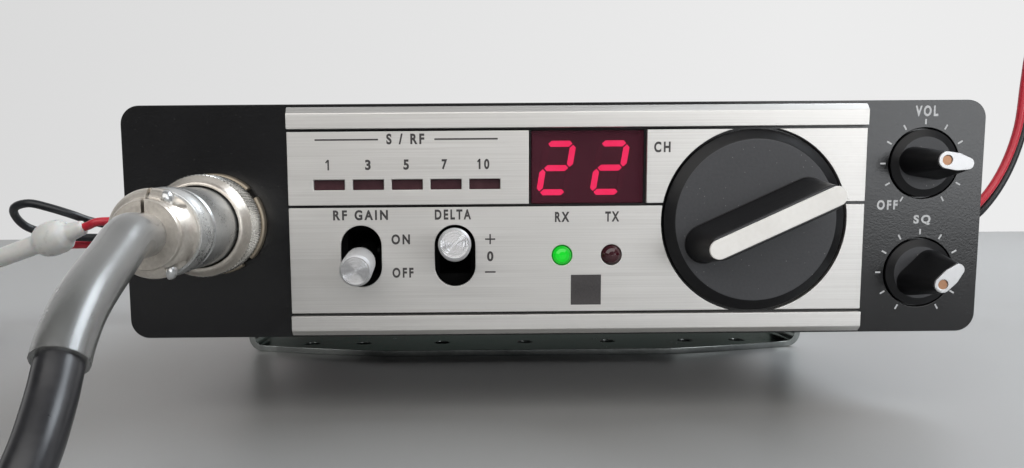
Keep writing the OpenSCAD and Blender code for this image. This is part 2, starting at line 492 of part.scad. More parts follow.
module chassis() color([0.6, 0.6, 0.58]) {
    h = case_h - 2*sheet;
    difference() {
        union() {
            difference() {
                translate([-chassis_w/2, case_y, case_z0+sheet]) cube([chassis_w, case_d, h]);
                translate([-chassis_w/2+wall, case_y-1, case_z0]) cube([chassis_w-2*wall, case_d-wall+1, case_h]);
            }
            on_panel() difference() {
                slab(-panel_w/2+rim_t+0.3, panel_w/2-rim_t-0.3, panel_r, panel_h-panel_r, -panel_depth, -panel_depth+wall);
                slab(board_x0+2, board_x1-2, board_z0+1, board_z1, -panel_depth-1, -panel_depth+wall+1);
            }
            for (s = [-1, 1]) {
                side_rod(s > 0 ? chassis_w/2-wall-4 : -chassis_w/2+wall-0.1, s > 0 ? chassis_w/2-wall+0.1 : -chassis_w/2+wall+4, 0, pivot_z, 5.5);
                for (y = [case_y+25, back_y-31]) translate([s > 0 ? chassis_w/2-9 : -chassis_w/2+wall-0.1, y, pivot_z+0.8]) cube([9-wall+0.1, 12, 1.6]);
            }
        }
        side_rod(-chassis_w/2-1, chassis_w/2+1, 0, pivot_z, stud_r + stud_gap);
        for (y = screw_y) for (z = [case_z0+6.5, case_z1-6.5]) side_rod(-chassis_w/2-1, chassis_w/2+1, y, z, 1.6);
        rear_rod(-12, aerial_z, back_y-3, back_y+1, 6.3);
        rear_rod(jack_x, jack_z, back_y-3, back_y+1, 4.2);
        rear_rod(grommet[0], grommet[2], back_y-3, back_y+1, 5.2);
    }
}
module cover(top) difference() {
    union() {
        translate([-case_w/2, case_y, top ? case_z1-sheet : case_z0]) cube([case_w, case_d, sheet]);
        for (s = [-1, 1]) translate([s > 0 ? case_w/2-sheet : -case_w/2, case_y, top ? case_z1-11.5 : case_z0]) cube([sheet, case_d, 11.5]);
    }
    for (y = screw_y) side_rod(-case_w/2-1, case_w/2+1, y, top ? case_z1-6.5 : case_z0+6.5, 1.6);
}
module top_cover() color([0.16, 0.16, 0.17]) cover(true);
module bottom_cover() color([0.16, 0.16, 0.17]) difference() {
    cover(false);
    for (i = [-4:4]) translate([speaker[0] + i*5.6 - 1.3, speaker[1] - 28 + abs(i)*2.2, case_z0-1]) cube([2.6, 56 - abs(i)*4.4, sheet+2]);
}
module cover_screws() color([0.7, 0.7, 0.68])
    for (s = [-1, 1]) for (y = screw_y) for (z = [case_z0+6.5, case_z1-6.5])
        translate([s*case_w/2, y, z]) rotate([0, s*90, 0]) rotate_extrude($fn = 32)
            polygon([[0, -6], [1.4, -6], [1.4, 0], [2.8, 0], [2.5, 0.7], [1.4, 1.1], [0, 1.2]]);
board_z = pivot_z + 2.4;
module circuit_boards() color([0.25, 0.38, 0.2]) {
    difference() {
        translate([-chassis_w/2+wall+1.5, front_y+board_w+5, board_z]) cube([chassis_w-2*wall-3, case_d-24, 1.6]);
        for (s = [-1, 1]) translate([s > 0 ? chassis_w/2-wall-6 : -chassis_w/2+wall-6, -7, board_z-1]) cube([12, 14, 4]);
    }
    on_panel() slab(board_x0, board_x1, board_z0, board_z1, -board_w-1.6, -board_w);
}
module board_parts() color([0.62, 0.62, 0.6]) translate([0, 0, board_z+1.6]) {
    for (p = [[-60, -50], [-44, -50], [-28, -50], [-60, -30], [-44, -30], [10, 20], [26, 20], [42, 20]]) translate([p[0], p[1], 0]) cube([10, 10, 13]);
    for (p = [[60, -50], [60, -32], [-70, 10], [-70, 26]]) translate([p[0], p[1], 0]) cylinder(r = 5, h = 15);
    translate([-10, -48, 0]) cube([34, 14, 4]);
    translate([-30, 5, 0]) cube([22, 9, 4]);
    translate([10, -20, 0]) cube([18, 8, 11]);
    translate([30, 50, 0]) cube([12, 6, 14]);
}
speaker = [-32, -4, case_z0 + sheet];
module speaker_frame() color([0.45, 0.45, 0.44]) translate(speaker) rotate_extrude()
    polygon([[29, 0], [33, 0], [33, 1.2], [30, 1.2], [16, 13], [17, 14], [17, 22], [0, 22], [0, 13], [15, 13], [15.2, 12.2], [29, 0.8]]);
module speaker_cone() color([0.12, 0.11, 0.1]) translate(speaker) rotate_extrude()
    polygon([[0, 8.4], [9, 8.4], [27.4, 0.4], [28.8, 0.4], [28.8, 0.9], [27.6, 1], [9.2, 9.2], [0, 9.2]]);
module heat_sink() color([0.1, 0.1, 0.1]) {
    translate([sink_x, back_y, pivot_z-sink_h/2]) cube([sink_w, 3, sink_h]);
    for (i = [0:9]) translate([sink_x + i*(sink_w-1.6)/9, back_y+2.9, pivot_z-sink_h/2]) cube([1.6, 13, sink_h]);
}
module antenna_socket() color([0.72, 0.71, 0.67]) difference() {
    union() {
        translate([-24.5, back_y, aerial_z-12.5]) cube([25, 1.6, 25]);
        rear_rod(-12, aerial_z, back_y+1.5, back_y+17, 7.9);
        rear_rod(-12, aerial_z, back_y-9, back_y+1, 6);
    }
    rear_rod(-12, aerial_z, back_y+6, back_y+18, 6.2);
    for (x = [-21.5, -2.5]) for (s = [-1, 1]) rear_rod(x, aerial_z + 9.5*s, back_y-1, back_y+3, 1.6);
}
module speaker_jack() color([0.7, 0.69, 0.66]) difference() {
    union() {
        rear_rod(jack_x, jack_z, back_y, back_y+2.4, 5.4);
        rear_rod(jack_x, jack_z, back_y+2.3, back_y+4.4, 3.9);
        rear_rod(jack_x, jack_z, back_y-13, back_y+0.1, 4);
    }
    rear_rod(jack_x, jack_z, back_y-10, back_y+5, 1.8);
}
module lead_grommet() color([0.05, 0.05, 0.05]) {
    rear_rod(grommet[0], grommet[2], back_y-3.4, back_y+0.1, 5);
    rear_rod(grommet[0], grommet[2], back_y, back_y+4, 7);
}

module pivot_washers() color([0.08, 0.08, 0.08]) for (s = [-1, 1]) difference() {
    side_rod(s > 0 ? chassis_w/2 : -chassis_w/2-washer_t, s > 0 ? chassis_w/2+washer_t : -chassis_w/2, 0, pivot_z, 9);
    side_rod(-panel_w, panel_w, 0, pivot_z, stud_r + stud_gap);
}
module thumbscrew(s) color([0.1, 0.1, 0.1]) translate([s*(bracket_out+0.15), 0, pivot_z]) rotate([0, s*90, 0]) difference() {
    rotate_extrude() polygon([[0, -10], [stud_r, -10], [stud_r, 0], [5.5, 0], [5.5, 2], [thumb_r-0.5, 2], [thumb_r, 2.5],
        [thumb_r, 9], [thumb_r-0.8, 10], [5, 10], [4.4, 9.2], [0, 9.2]]);
    for (i = [0:17]) rotate([0, 0, i*20]) translate([thumb_r+0.35, 0, 1]) cylinder(r = 0.9, h = 11, $fn = 16);
}
module left_thumbscrew() thumbscrew(-1);
module right_thumbscrew() thumbscrew(1);

module red_lead_in() color([0.75, 0.1, 0.12]) cord(red_in_q, wire_r, 8);
module red_lead_out() color([0.75, 0.1, 0.12]) cord(red_out_q, wire_r, 8);
module black_lead() color([0.05, 0.05, 0.06]) cord(black_q, wire_r, 8);
module fuse_holder() color([0.88, 0.88, 0.85]) translate(fuse_a)
    rotate([0, acos(fuse_d[2]), atan2(fuse_d[1], fuse_d[0])]) rotate_extrude()
    polygon([[0, 0], [2.3, 0], [2.7, 0.8], [3.5, 6.6], [4.6, 7.4], [5.8, 8.6], [6.4, 10.6], [6.6, 13], [6.5, 15.5], [6, 17.8], [5, 19.4], [4, 20.2],
        [3.7, 21.2], [3.5, 40], [3.4, 57], [2.8, 59.5], [2.3, fuse_len], [0, fuse_len]]);
module supply_plug() color([0.85, 0.84, 0.8]) difference() {
    union() {
        translate([251.6, 26, 0]) cube([14.4, 22, 8]);
        for (x = [256.6, 261]) translate([x, 26.1, 4]) rotate([90, 0, 0]) cylinder(r = 1.9, h = 9);
    }
    for (x = [256.6, 261]) translate([x, 26, 4]) rotate([90, 0, 0]) cylinder(r = 1, h = 12);
}

module mic_form(z0, z1, inset, top) hull() for (x = [-1, 1]) for (y = [-1, 1])
    translate([x*(mic_w/2-13), y*(mic_l/2-13), z0]) {
        c = inset > 0 ? 0 : 3.5;
        translate([0, 0, top ? 0 : c]) cylinder(r = 13-inset, h = z1-z0-c, $fn = 36);
        cylinder(r = 13-inset-c, h = z1-z0, $fn = 36);
    }
talk_z0 = mic_h/2 - 6.5;
module talk_opening() translate([mic_w/2-12, -20.5, talk_z0]) cube([20, 41, 13]);
module mic_back_shell() color([0.08, 0.08, 0.09]) translate(hand) difference() {
    mic_form(0, mic_h/2, 0, false);
    mic_form(mic_wall, mic_h/2+1, mic_wall, false);
    talk_opening();
}
module mic_front_shell() color([0.08, 0.08, 0.09]) translate(hand) difference() {
    mic_form(mic_h/2, mic_h, 0, true);
    mic_form(mic_h/2-1, mic_h-mic_wall, mic_wall, true);
    talk_opening();
    for (i = [-3:3]) translate([-13, 16 + i*4.2, mic_h-5]) cube([26, 1.8, 8]);
}
module talk_bar() color([0.12, 0.12, 0.13]) translate(hand) translate([mic_w/2-8, -20, talk_z0+0.5]) difference() {
    cube([9+talk_travel, 40, 12]);
    for (i = [0:5]) translate([8.5+talk_travel, 5 + i*5.4, -1]) cube([2, 2.4, 14]);
}
module mic_capsule() color([0.6, 0.6, 0.58]) translate(hand + [0, 16, mic_h-mic_wall-8]) cylinder(r = 11, h = 8);
module mic_boot() color([0.05, 0.05, 0.05]) translate(hand + [0, -mic_l/2-12, 14]) rotate([-90, 0, 0]) rotate_extrude()
    polygon([[0, 0], [4.3, 0], [4.6, 2], [5.6, 12], [0, 12]]);

mounting_bracket();
front_panel();
trim_rails();
meter_plate();
channel_plate();
control_plate();
meter_filter();
display_window();
display_module();
lit_segments();
rx_lamp();
tx_lamp();
mic_socket();
coupling_ring();
mic_plug();
cable_clamp();
clamp_screws();
cable_sleeve();
mic_cable();
mic_cable_coil();
mic_cable_tail();
channel_knob();
channel_pointer();
channel_shaft();
volume_knob();
volume_pointer();
volume_shaft();
squelch_knob();
squelch_pointer();
squelch_shaft();
gain_lever();
delta_lever();
toggle_switches();
rotary_controls();
chassis();
top_cover();
bottom_cover();
cover_screws();
circuit_boards();
board_parts();
speaker_frame();
speaker_cone();
heat_sink();
antenna_socket();
speaker_jack();
lead_grommet();
pivot_washers();
left_thumbscrew();
right_thumbscrew();
red_lead_in();
red_lead_out();
black_lead();
fuse_holder();
supply_plug();
mic_back_shell();
mic_front_shell();
talk_bar();
mic_capsule();
mic_boot();
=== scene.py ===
import json
import math

import bpy
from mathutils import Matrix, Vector

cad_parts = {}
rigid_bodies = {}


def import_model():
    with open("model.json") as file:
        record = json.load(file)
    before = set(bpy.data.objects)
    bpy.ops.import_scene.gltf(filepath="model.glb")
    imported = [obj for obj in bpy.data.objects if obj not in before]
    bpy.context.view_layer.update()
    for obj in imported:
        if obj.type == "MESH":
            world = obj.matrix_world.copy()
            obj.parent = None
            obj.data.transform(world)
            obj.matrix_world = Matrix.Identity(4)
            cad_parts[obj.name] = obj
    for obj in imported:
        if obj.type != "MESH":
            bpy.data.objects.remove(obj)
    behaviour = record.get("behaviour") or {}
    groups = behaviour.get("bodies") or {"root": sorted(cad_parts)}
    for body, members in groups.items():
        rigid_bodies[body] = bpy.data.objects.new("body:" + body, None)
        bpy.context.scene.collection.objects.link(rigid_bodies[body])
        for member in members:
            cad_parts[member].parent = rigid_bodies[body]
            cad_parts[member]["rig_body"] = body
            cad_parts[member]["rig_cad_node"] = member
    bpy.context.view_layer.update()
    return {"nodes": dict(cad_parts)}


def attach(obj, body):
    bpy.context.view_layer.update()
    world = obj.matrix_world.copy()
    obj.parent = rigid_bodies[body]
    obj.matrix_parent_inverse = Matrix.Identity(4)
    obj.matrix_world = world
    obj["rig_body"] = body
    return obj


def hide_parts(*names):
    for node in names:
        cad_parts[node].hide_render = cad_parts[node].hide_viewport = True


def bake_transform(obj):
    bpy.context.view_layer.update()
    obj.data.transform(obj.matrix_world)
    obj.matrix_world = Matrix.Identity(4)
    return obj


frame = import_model()

# Camera: a hand-held compact stood low in front of the radio, a little left of its middle and
# looking slightly down. The sideways and upward shift is the picture's own cropping.
bpy.context.scene.view_settings.view_transform = "Standard"
bpy.ops.object.camera_add(
    location=(-0.0214, -0.2921, 0.0544),
    rotation=(math.radians(83.38), math.radians(0.447), math.radians(-0.452)))
camera = bpy.context.object
camera.data.sensor_fit = "HORIZONTAL"
camera.data.sensor_width = 36
camera.data.lens = 29.88
camera.data.shift_x = 0.044
camera.data.shift_y = 0.050
camera.data.clip_start = 0.01
bpy.context.scene.camera = camera


# Table, wall and light: a pale satin table top against a white wall that is open from behind,
# daylight from a large window in front, a low one to the right that spares the table, and soft light
# from the room, less to the left.
def stage_plane(name, place, turn, size):
    """A large flat sheet of the stage, turned about X by degrees."""
    bpy.ops.mesh.primitive_plane_add(size=1, location=place, rotation=(math.radians(turn), 0, 0))
    sheet = bpy.context.object
    sheet.name = name
    sheet.scale = (*size, 1)
    bpy.ops.object.transform_apply(location=False, rotation=False, scale=True)
    return sheet


table = stage_plane("table_top", (0, -1.175, 0), 0, (6, 3.65))
wall = stage_plane("wall", (0, 0.655, 1.2), 90, (6, 3))


def surface(name, **sockets):
    """A new material: its constant sockets are set on the shader itself."""
    material = bpy.data.materials.new(name)
    material.use_nodes = True
    shader = material.node_tree.nodes["Principled BSDF"]
    for socket, value in sockets.items():
        shader.inputs[socket.replace("_", " ")].default_value = value
    return material, material.node_tree, shader


def coat(piece, paint):
    """One paint all over a piece."""
    piece.data.materials.clear()
    piece.data.materials.append(paint)


coat(table, surface("table_laminate", Base_Color=(0.37, 0.37, 0.365, 1), Roughness=0.38)[0])


def add(tree, kind, operation=None):
    """A new shader node, with its operation where it has one."""
    node = tree.nodes.new("ShaderNode" + kind)
    if operation:
        node.operation = operation
    return node


def connect(tree, *links):
    """Links between nodes, each from an output to an input."""
    for output, target in links:
        tree.links.new(output, target)


def vary(tree, mask, low, high, target, span=(0.3, 0.7)):
    """A number from low to high as the mask goes through its span."""
    scale = add(tree, "MapRange")
    scale.inputs["From Min"].default_value, scale.inputs["From Max"].default_value = span
    scale.inputs["To Min"].default_value, scale.inputs["To Max"].default_value = low, high
    connect(tree, (mask, scale.inputs["Value"]), (scale.outputs["Result"], target))
    return scale


wall_paint, tree, shader = surface("wall_white")
ray = add(tree, "LightPath")
seen = add(tree, "Math", "MAXIMUM")
seen_through = add(tree, "Math", "MAXIMUM")
place_on_wall = add(tree, "TexCoord")
sideways = add(tree, "SeparateXYZ")
glow = add(tree, "Emission")
front = add(tree, "MixShader")
side = add(tree, "NewGeometry")
open_back = add(tree, "BsdfTransparent")
one_sided = add(tree, "MixShader")
# The wall, seen directly, in reflections and through clear parts, is a painted glow that is brighter towards the right,
# not lit paint.
vary(tree, sideways.outputs["X"], 0.69, 0.84, glow.inputs["Color"], (-0.6, 0.35))
connect(tree,
        (place_on_wall.outputs["Object"], sideways.inputs["Vector"]),
        (ray.outputs["Is Camera Ray"], seen.inputs[0]),
        (ray.outputs["Is Glossy Ray"], seen.inputs[1]),
        (seen.outputs[0], seen_through.inputs[0]),
        (ray.outputs["Is Transmission Ray"], seen_through.inputs[1]),
        (seen_through.outputs[0], front.inputs["Fac"]),
        (shader.outputs[0], front.inputs[1]),
        (glow.outputs[0], front.inputs[2]),
        (side.outputs["Backfacing"], one_sided.inputs["Fac"]),
        (front.outputs[0], one_sided.inputs[1]),
        (open_back.outputs[0], one_sided.inputs[2]),
        (one_sided.outputs[0], tree.nodes["Material Output"].inputs["Surface"]))
coat(wall, wall_paint)
room = bpy.data.worlds.new("room")
room.use_nodes = True
tree = room.node_tree
ray = add(tree, "LightPath")
way = add(tree, "TexCoord")
sideways = add(tree, "SeparateXYZ")
room_light = add(tree, "Mix")
room_light.data_type = "RGBA"
room_light.inputs["A"].default_value = (0.06, 0.06, 0.062, 1)
room_light.inputs["B"].default_value = (0.28, 0.28, 0.288, 1)
room_tone = add(tree, "Mix")
room_tone.data_type = "RGBA"
room_tone.inputs["B"].default_value = (0.70, 0.70, 0.71, 1)
vary(tree, sideways.outputs["X"], 0, 1, room_light.inputs["Factor"], (-1, 1))
connect(tree,
        (way.outputs["Generated"], sideways.inputs["Vector"]),
        (ray.outputs["Is Camera Ray"], room_tone.inputs["Factor"]),
        (room_light.outputs["Result"], room_tone.inputs["A"]),
        (room_tone.outputs["Result"], tree.nodes["Background"].inputs["Color"]))
bpy.context.scene.world = room
for place, aim, size, power, tone, on_table in (
    ((-0.15, -1.2, 0.95), (0.0, -0.05, 0.04), (2.4, 1.3), 18, (1.0, 0.985, 0.96), True),
    ((0.64, -0.95, 0.15), (0.06, -0.1, 0.04), (0.5, 0.44), 2.8, (0.95, 0.975, 1.0), False),
    ((0.70, 0.20, 0.85), (-0.05, -0.12, 0.04), (1.0, 0.5), 9.5, (0.86, 0.93, 1.0), True),
):
    bpy.ops.object.light_add(type="AREA", location=place)
    lamp = bpy.context.object
    lamp.rotation_euler = (Vector(aim) - Vector(place)).to_track_quat("-Z", "Y").to_euler()
    lamp.data.shape = "RECTANGLE"
    lamp.data.size, lamp.data.size_y = size
    lamp.data.energy = power
    lamp.data.color = tone
    if not on_table:
        shaded = bpy.data.collections.new("out_of_low_light")
        shaded.objects.link(table)
        shaded.collection_objects[0].light_linking.link_state = "EXCLUDE"
        lamp.light_linking.receiver_collection = shaded


# Microphone cable: black vinyl over several cores. It leaves the plug, falls to the table and is put
# away in two flat layers of turns under a tie, then rises into the hand microphone's boot.
def through(points, steps):
    """Close points on a soft curve through listed ones, given in millimetres."""
    soft = []
    for i in range(len(points) - 1):
        a, b, c, d = (Vector(points[min(max(k, 0), len(points) - 1)]) / 1000 for k in range(i - 1, i + 3))
        for k in range(steps):
            t = k / steps
            soft.append(0.5 * (2 * b + (c - a) * t + (2 * a - 5 * b + 4 * c - d) * t * t
                               + (3 * b - a - 3 * c + d) * t ** 3))
    return soft + [Vector(points[-1]) / 1000]


def only(piece):
    """Select one piece alone and make it the active one."""
    bpy.ops.object.select_all(action="DESELECT")
    piece.select_set(True)
    bpy.context.view_layer.objects.active = piece


def tube(name, path, radius, round_steps=5):
    """A smooth round tube with closed ends along the path."""
    line = bpy.data.curves.new(name, "CURVE")
    line.dimensions = "3D"
    line.bevel_depth = radius
    line.bevel_resolution = round_steps
    line.use_fill_caps = True
    run = line.splines.new("POLY")
    run.points.add(len(path) - 1)
    for point, spot in zip(run.points, path):
        point.co = (*spot, 1)
    piece = bpy.data.objects.new(name, line)
    bpy.context.scene.collection.objects.link(piece)
    only(piece)
    bpy.ops.object.convert(target="MESH")
    bpy.ops.object.shade_smooth()
    return bpy.context.object


plug_end = (-76.8, -143.0, 46.4)
fall = [Vector(plug_end) / 1000] + through([
    (-76.8, -145, 46.4), (-76.8, -150, 46.4), (-76.6, -157, 43.6), (-76, -169.5, 38.6), (-75.5, -177.5, 33.5),
    (-75, -183.5, 27), (-75, -190, 20.5), (-77, -198, 12), (-85, -205, 6), (-99, -207.5, 3.5),
    (-115, -204.5, 3.3), (-134, -196, 3.3), (-153, -187.5, 3.3), (-163, -184, 3.3), (-170, -184, 3.3),
], 6) + [Vector((-172, -184, 3.3)) / 1000]
coil_x, coil_y, lying = -172, -140, 3.3
widest, pitch, rounds, steps = 44, 8.4, 3.25, 156
climb_from, climb_to, layer = 1.375, 1.875, 7.3
turns = []
for i in range(1, steps + 1):
    n = rounds * i / steps
    rise = min(max((n - climb_from) / (climb_to - climb_from), 0), 1)
    r = widest - pitch * (n if n < climb_from else climb_from if n < climb_to else rounds - n)
    a = math.radians(270 - 360 * n)
    height = lying + layer * rise * rise * (3 - 2 * rise)
    turns.append(Vector((coil_x + r * math.cos(a), coil_y + r * math.sin(a), height)) / 1000)
coil_end = turns[-1] * 1000 + Vector((0, 6.6, 0))
boot_end = Vector((-217, -96, 14))
tail = [coil_end / 1000] + through([
    coil_end + Vector((0, 2, 0)), coil_end + Vector((0, 7, 0.4)), (-216.6, -114, 12.6), (-217, -102.6, 14),
    (-217, -98, 14),
], 5) + [boot_end / 1000]
stored = [fall[-1]] + turns + tail
cable_radius = 0.0033
cable = tube("microphone_cable", fall, cable_radius, 6)
coil = tube("microphone_cable_coil", stored, cable_radius, 6)


def effect(name, inputs, outputs):
    """An empty node group with named sockets, for an effect that several materials share."""
    group = bpy.data.node_groups.new(name, "ShaderNodeTree")
    for label, kind, value in inputs:
        group.interface.new_socket(label, in_out="INPUT", socket_type=kind).default_value = value
    for label in outputs:
        kind = "NodeSocketVector" if label == "Normal" else "NodeSocketFloat"
        group.interface.new_socket(label, in_out="OUTPUT", socket_type=kind)
    return group, group.nodes.new("NodeGroupInput"), group.nodes.new("NodeGroupOutput")


moulded_grain, given, made = effect(
    "moulded_grain", [("Fine", "NodeSocketFloat", 1500), ("Coarse", "NodeSocketFloat", 60)], ["Tone", "Height"])
where = add(moulded_grain, "TexCoord")
fine = add(moulded_grain, "TexNoise")
fine.inputs["Detail"].default_value = 2
coarse = add(moulded_grain, "TexNoise")
coarse.inputs["Detail"].default_value = 4
both = add(moulded_grain, "Mix")
both.inputs["Factor"].default_value = 0.6
connect(moulded_grain,
        (where.outputs["Object"], fine.inputs["Vector"]),
        (where.outputs["Object"], coarse.inputs["Vector"]),
        (given.outputs["Fine"], fine.inputs["Scale"]),
        (given.outputs["Coarse"], coarse.inputs["Scale"]),
        (fine.outputs["Fac"], both.inputs["A"]),
        (coarse.outputs["Fac"], both.inputs["B"]),
        (both.outputs["Result"], made.inputs["Tone"]),
        (fine.outputs["Fac"], made.inputs["Height"]))


def put(tree, group, **values):
    """A shared effect placed in a material with its own values."""
    effect_node = add(tree, "Group")
    effect_node.node_tree = group
    for label, value in values.items():
        effect_node.inputs[label].default_value = value
    return effect_node


def tint(tree, mask, low, high, target, span=(0.3, 0.7)):
    """Colour from low to high as the mask goes through its span."""
    ramp = add(tree, "ValToRGB")
    for stop, position, colour in zip(ramp.color_ramp.elements, span, (low, high)):
        stop.position, stop.color = position, (*colour, 1)
    connect(tree, (mask, ramp.inputs["Fac"]), (ramp.outputs["Color"], target))


def relief(tree, height, shader, strength, depth):
    """Surface relief from a height pattern, depth in metres."""
    bump = add(tree, "Bump")
    bump.inputs["Strength"].default_value = strength
    bump.inputs["Distance"].default_value = depth
    connect(tree, (height, bump.inputs["Height"]), (bump.outputs["Normal"], shader.inputs["Normal"]))


def grain_over(tree, shader, low, high, rough, fine, coarse):
    """Tone and gloss from the moulded grain, which is given back for its relief."""
    grain = put(tree, moulded_grain, Fine=fine, Coarse=coarse)
    tint(tree, grain.outputs["Tone"], low, high, shader.inputs["Base Color"])
    vary(tree, grain.outputs["Tone"], *rough, shader.inputs["Roughness"])
    return grain


def grained(name, low, high, rough, fine, coarse, depth, **sockets):
    """A material with tone, gloss and relief from the moulded grain."""
    material, tree, shader = surface(name, **sockets)
    grain = grain_over(tree, shader, low, high, rough, fine, coarse)
    relief(tree, grain.outputs["Height"], shader, 0.5, depth)
    return material


def paint_faces(piece, paint, wanted):
    """A further paint on the wanted faces of a piece."""
    piece.data.materials.append(paint)
    for face in piece.data.polygons:
        if wanted(face):
            face.material_index = len(piece.data.materials) - 1


vinyl = grained("cable_vinyl", (0.010, 0.010, 0.012), (0.020, 0.020, 0.023), (0.27, 0.35), 900, 120, 0.00002,
                Specular_IOR_Level=0.7)
screen = grained("cable_screen", (0.085, 0.087, 0.092), (0.12, 0.123, 0.13), (0.27, 0.35), 900, 120, 0.00002,
                 Metallic=0.9)
sleeve_stop, sleeve_radius = 27, 0.004
sleeve_end, sleeve_way = fall[sleeve_stop], fall[sleeve_stop + 1] - fall[sleeve_stop - 1]


def under_sleeve(face):
    """True for a face of the cable that the clear sleeve covers."""
    return (face.center - sleeve_end).dot(sleeve_way) < 0 and face.center.z > sleeve_end.z


coat(cable, vinyl)
paint_faces(cable, screen, under_sleeve)
coat(coil, vinyl)
sleeve = tube("clear_sleeve", fall[:sleeve_stop + 1], sleeve_radius, 7)
clear, tree, shader = surface("sleeve_clear_vinyl", IOR=1.5, Coat_Weight=1.0, Coat_Roughness=0.3,
                              Transmission_Weight=0.9)
grain_over(tree, shader, (0.88, 0.875, 0.83), (0.93, 0.93, 0.89), (0.22, 0.28), 300, 40)
coat(sleeve, clear)
for piece in (cable, sleeve):
    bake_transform(piece)
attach(coil, "bracket")
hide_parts("mic_cable")
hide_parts("mic_cable_coil", "mic_cable_tail")
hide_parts("cable_sleeve")


# Coil tie: a flat strap of black vinyl, bent round the put-away turns and pulled tight, with its
# tail folded back over the top.
def pick(piece, kind, wanted):
    """Edit mode on a piece, with only the wanted faces, edges or points selected."""
    only(piece)
    bpy.ops.object.mode_set(mode="EDIT")
    bpy.ops.mesh.select_mode(type=kind)
    bpy.ops.mesh.select_all(action="DESELECT")
    bpy.ops.object.mode_set(mode="OBJECT")
    for bit in {"FACE": piece.data.polygons, "EDGE": piece.data.edges, "VERT": piece.data.vertices}[kind]:
        bit.select = wanted(bit)
    bpy.ops.object.mode_set(mode="EDIT")


bpy.ops.object.select_all(action="DESELECT")
bpy.ops.mesh.primitive_cube_add(size=1, location=(0, 0, 0))
tie = bpy.context.object
tie.name = "coil_tie"
tie.dimensions = (0.0196, 0.008, 0.0140)
bpy.ops.object.transform_apply(location=False, rotation=False, scale=True)
pick(tie, "FACE", lambda face: abs(face.normal.y) > 0.9)
bpy.ops.mesh.delete(type="ONLY_FACE")
bpy.ops.object.mode_set(mode="OBJECT")


def across_strap(edge):
    """True for an edge of the strap's four bends, which run across its length."""
    a, b = (tie.data.vertices[k].co for k in edge.vertices)
    return abs(a.y - b.y) > 0.004


pick(tie, "EDGE", across_strap)
bpy.ops.mesh.bevel(offset=0.0034, segments=5, affect="EDGES")
bpy.ops.object.mode_set(mode="OBJECT")
pick(tie, "FACE", lambda face: face.normal.z > 0.95)
bpy.ops.mesh.duplicate_move(TRANSFORM_OT_translate={"value": (0.0012, 0, 0.00075)})
bpy.ops.mesh.select_all(action="SELECT")
bpy.ops.mesh.normals_make_consistent(inside=False)
bpy.ops.object.mode_set(mode="OBJECT")
strap = tie.modifiers.new("strap", "SOLIDIFY")
strap.thickness = 0.0006
strap.offset = -1
bpy.ops.object.modifier_apply(modifier=strap.name)
soft_edges = tie.modifiers.new("soft_edges", "BEVEL")
soft_edges.width = 0.00018
soft_edges.segments = 2
soft_edges.limit_method = "ANGLE"
bpy.ops.object.modifier_apply(modifier=soft_edges.name)
tie_turn, tie_reach, tie_height = math.radians(225), 0.0383, 0.00705
tie.rotation_euler = (0, 0, tie_turn)
tie.location = (coil_x / 1000 + tie_reach * math.cos(tie_turn),
                coil_y / 1000 + tie_reach * math.sin(tie_turn), tie_height)
bpy.ops.object.transform_apply(location=True, rotation=True, scale=False)
bpy.ops.object.shade_smooth_by_angle(angle=math.radians(38))
coat(tie, grained("tie_vinyl", (0.014, 0.014, 0.016), (0.030, 0.030, 0.033), (0.42, 0.6), 1400, 90, 0.00005))
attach(tie, "bracket")

# Supply lead: one red and one black stranded wire from the grommet at the back. The red one passes a
# fuse holder, the black one makes a springy loop round it, and both end in a two-pole plug.
fuse_in = Vector((-163.2, 30, 40.4))
along = Vector((-0.92, 0.12, -0.31)).normalized()
fuse_length = 66
fuse_out = fuse_in + fuse_length * along
red_in_run = [Vector((-46, 80, 40)) / 1000] + through([
    (-46, 82, 40), (-46, 88, 40), (-57, 98, 40.5), (-80, 101, 41), (-112, 88, 42), (-132, 64, 42.2), (-142, 46, 42.3),
    (-150.5, 34, 42.4), fuse_in - 6 * along, fuse_in - 2 * along,
], 6) + [(fuse_in + 5 * along) / 1000]
red_out_run = [fuse_out / 1000] + through([
    fuse_out + 2 * along, fuse_out + 6 * along, (-236.6, 43, 10.6), (-239, 49.6, 7.4), (-235, 57, 8.6), (-226, 60, 15),
    (-213.5, 57.4, 24), (-202, 55, 28.6), (-189, 54, 31.6), (-176, 54, 32.2), (-165, 56.4, 32), (-150, 63.6, 31),
    (-128, 81.4, 28), (-100, 100.8, 20.6), (-70, 113, 10), (-40, 117, 3.2), (-10, 118, 1.6), (30, 117.5, 1.6),
    (66, 115, 1.6), (100, 107, 1.6), (128, 96, 5), (152, 84, 15), (174, 71, 29.5), (188, 63, 40),
    (195.4, 60, 48.3), (202.9, 60, 61), (207.7, 60, 77), (209.2, 60, 94.9), (211.2, 61, 108), (217, 64, 119.5),
    (228, 68, 124), (239, 72, 118), (245.5, 75, 102), (249, 77, 76), (251.5, 78, 46), (253.5, 78, 20), (256, 75, 8),
    (260, 66, 4), (261, 56, 4), (261, 50, 4),
], 5) + [Vector((261, 48, 4)) / 1000]
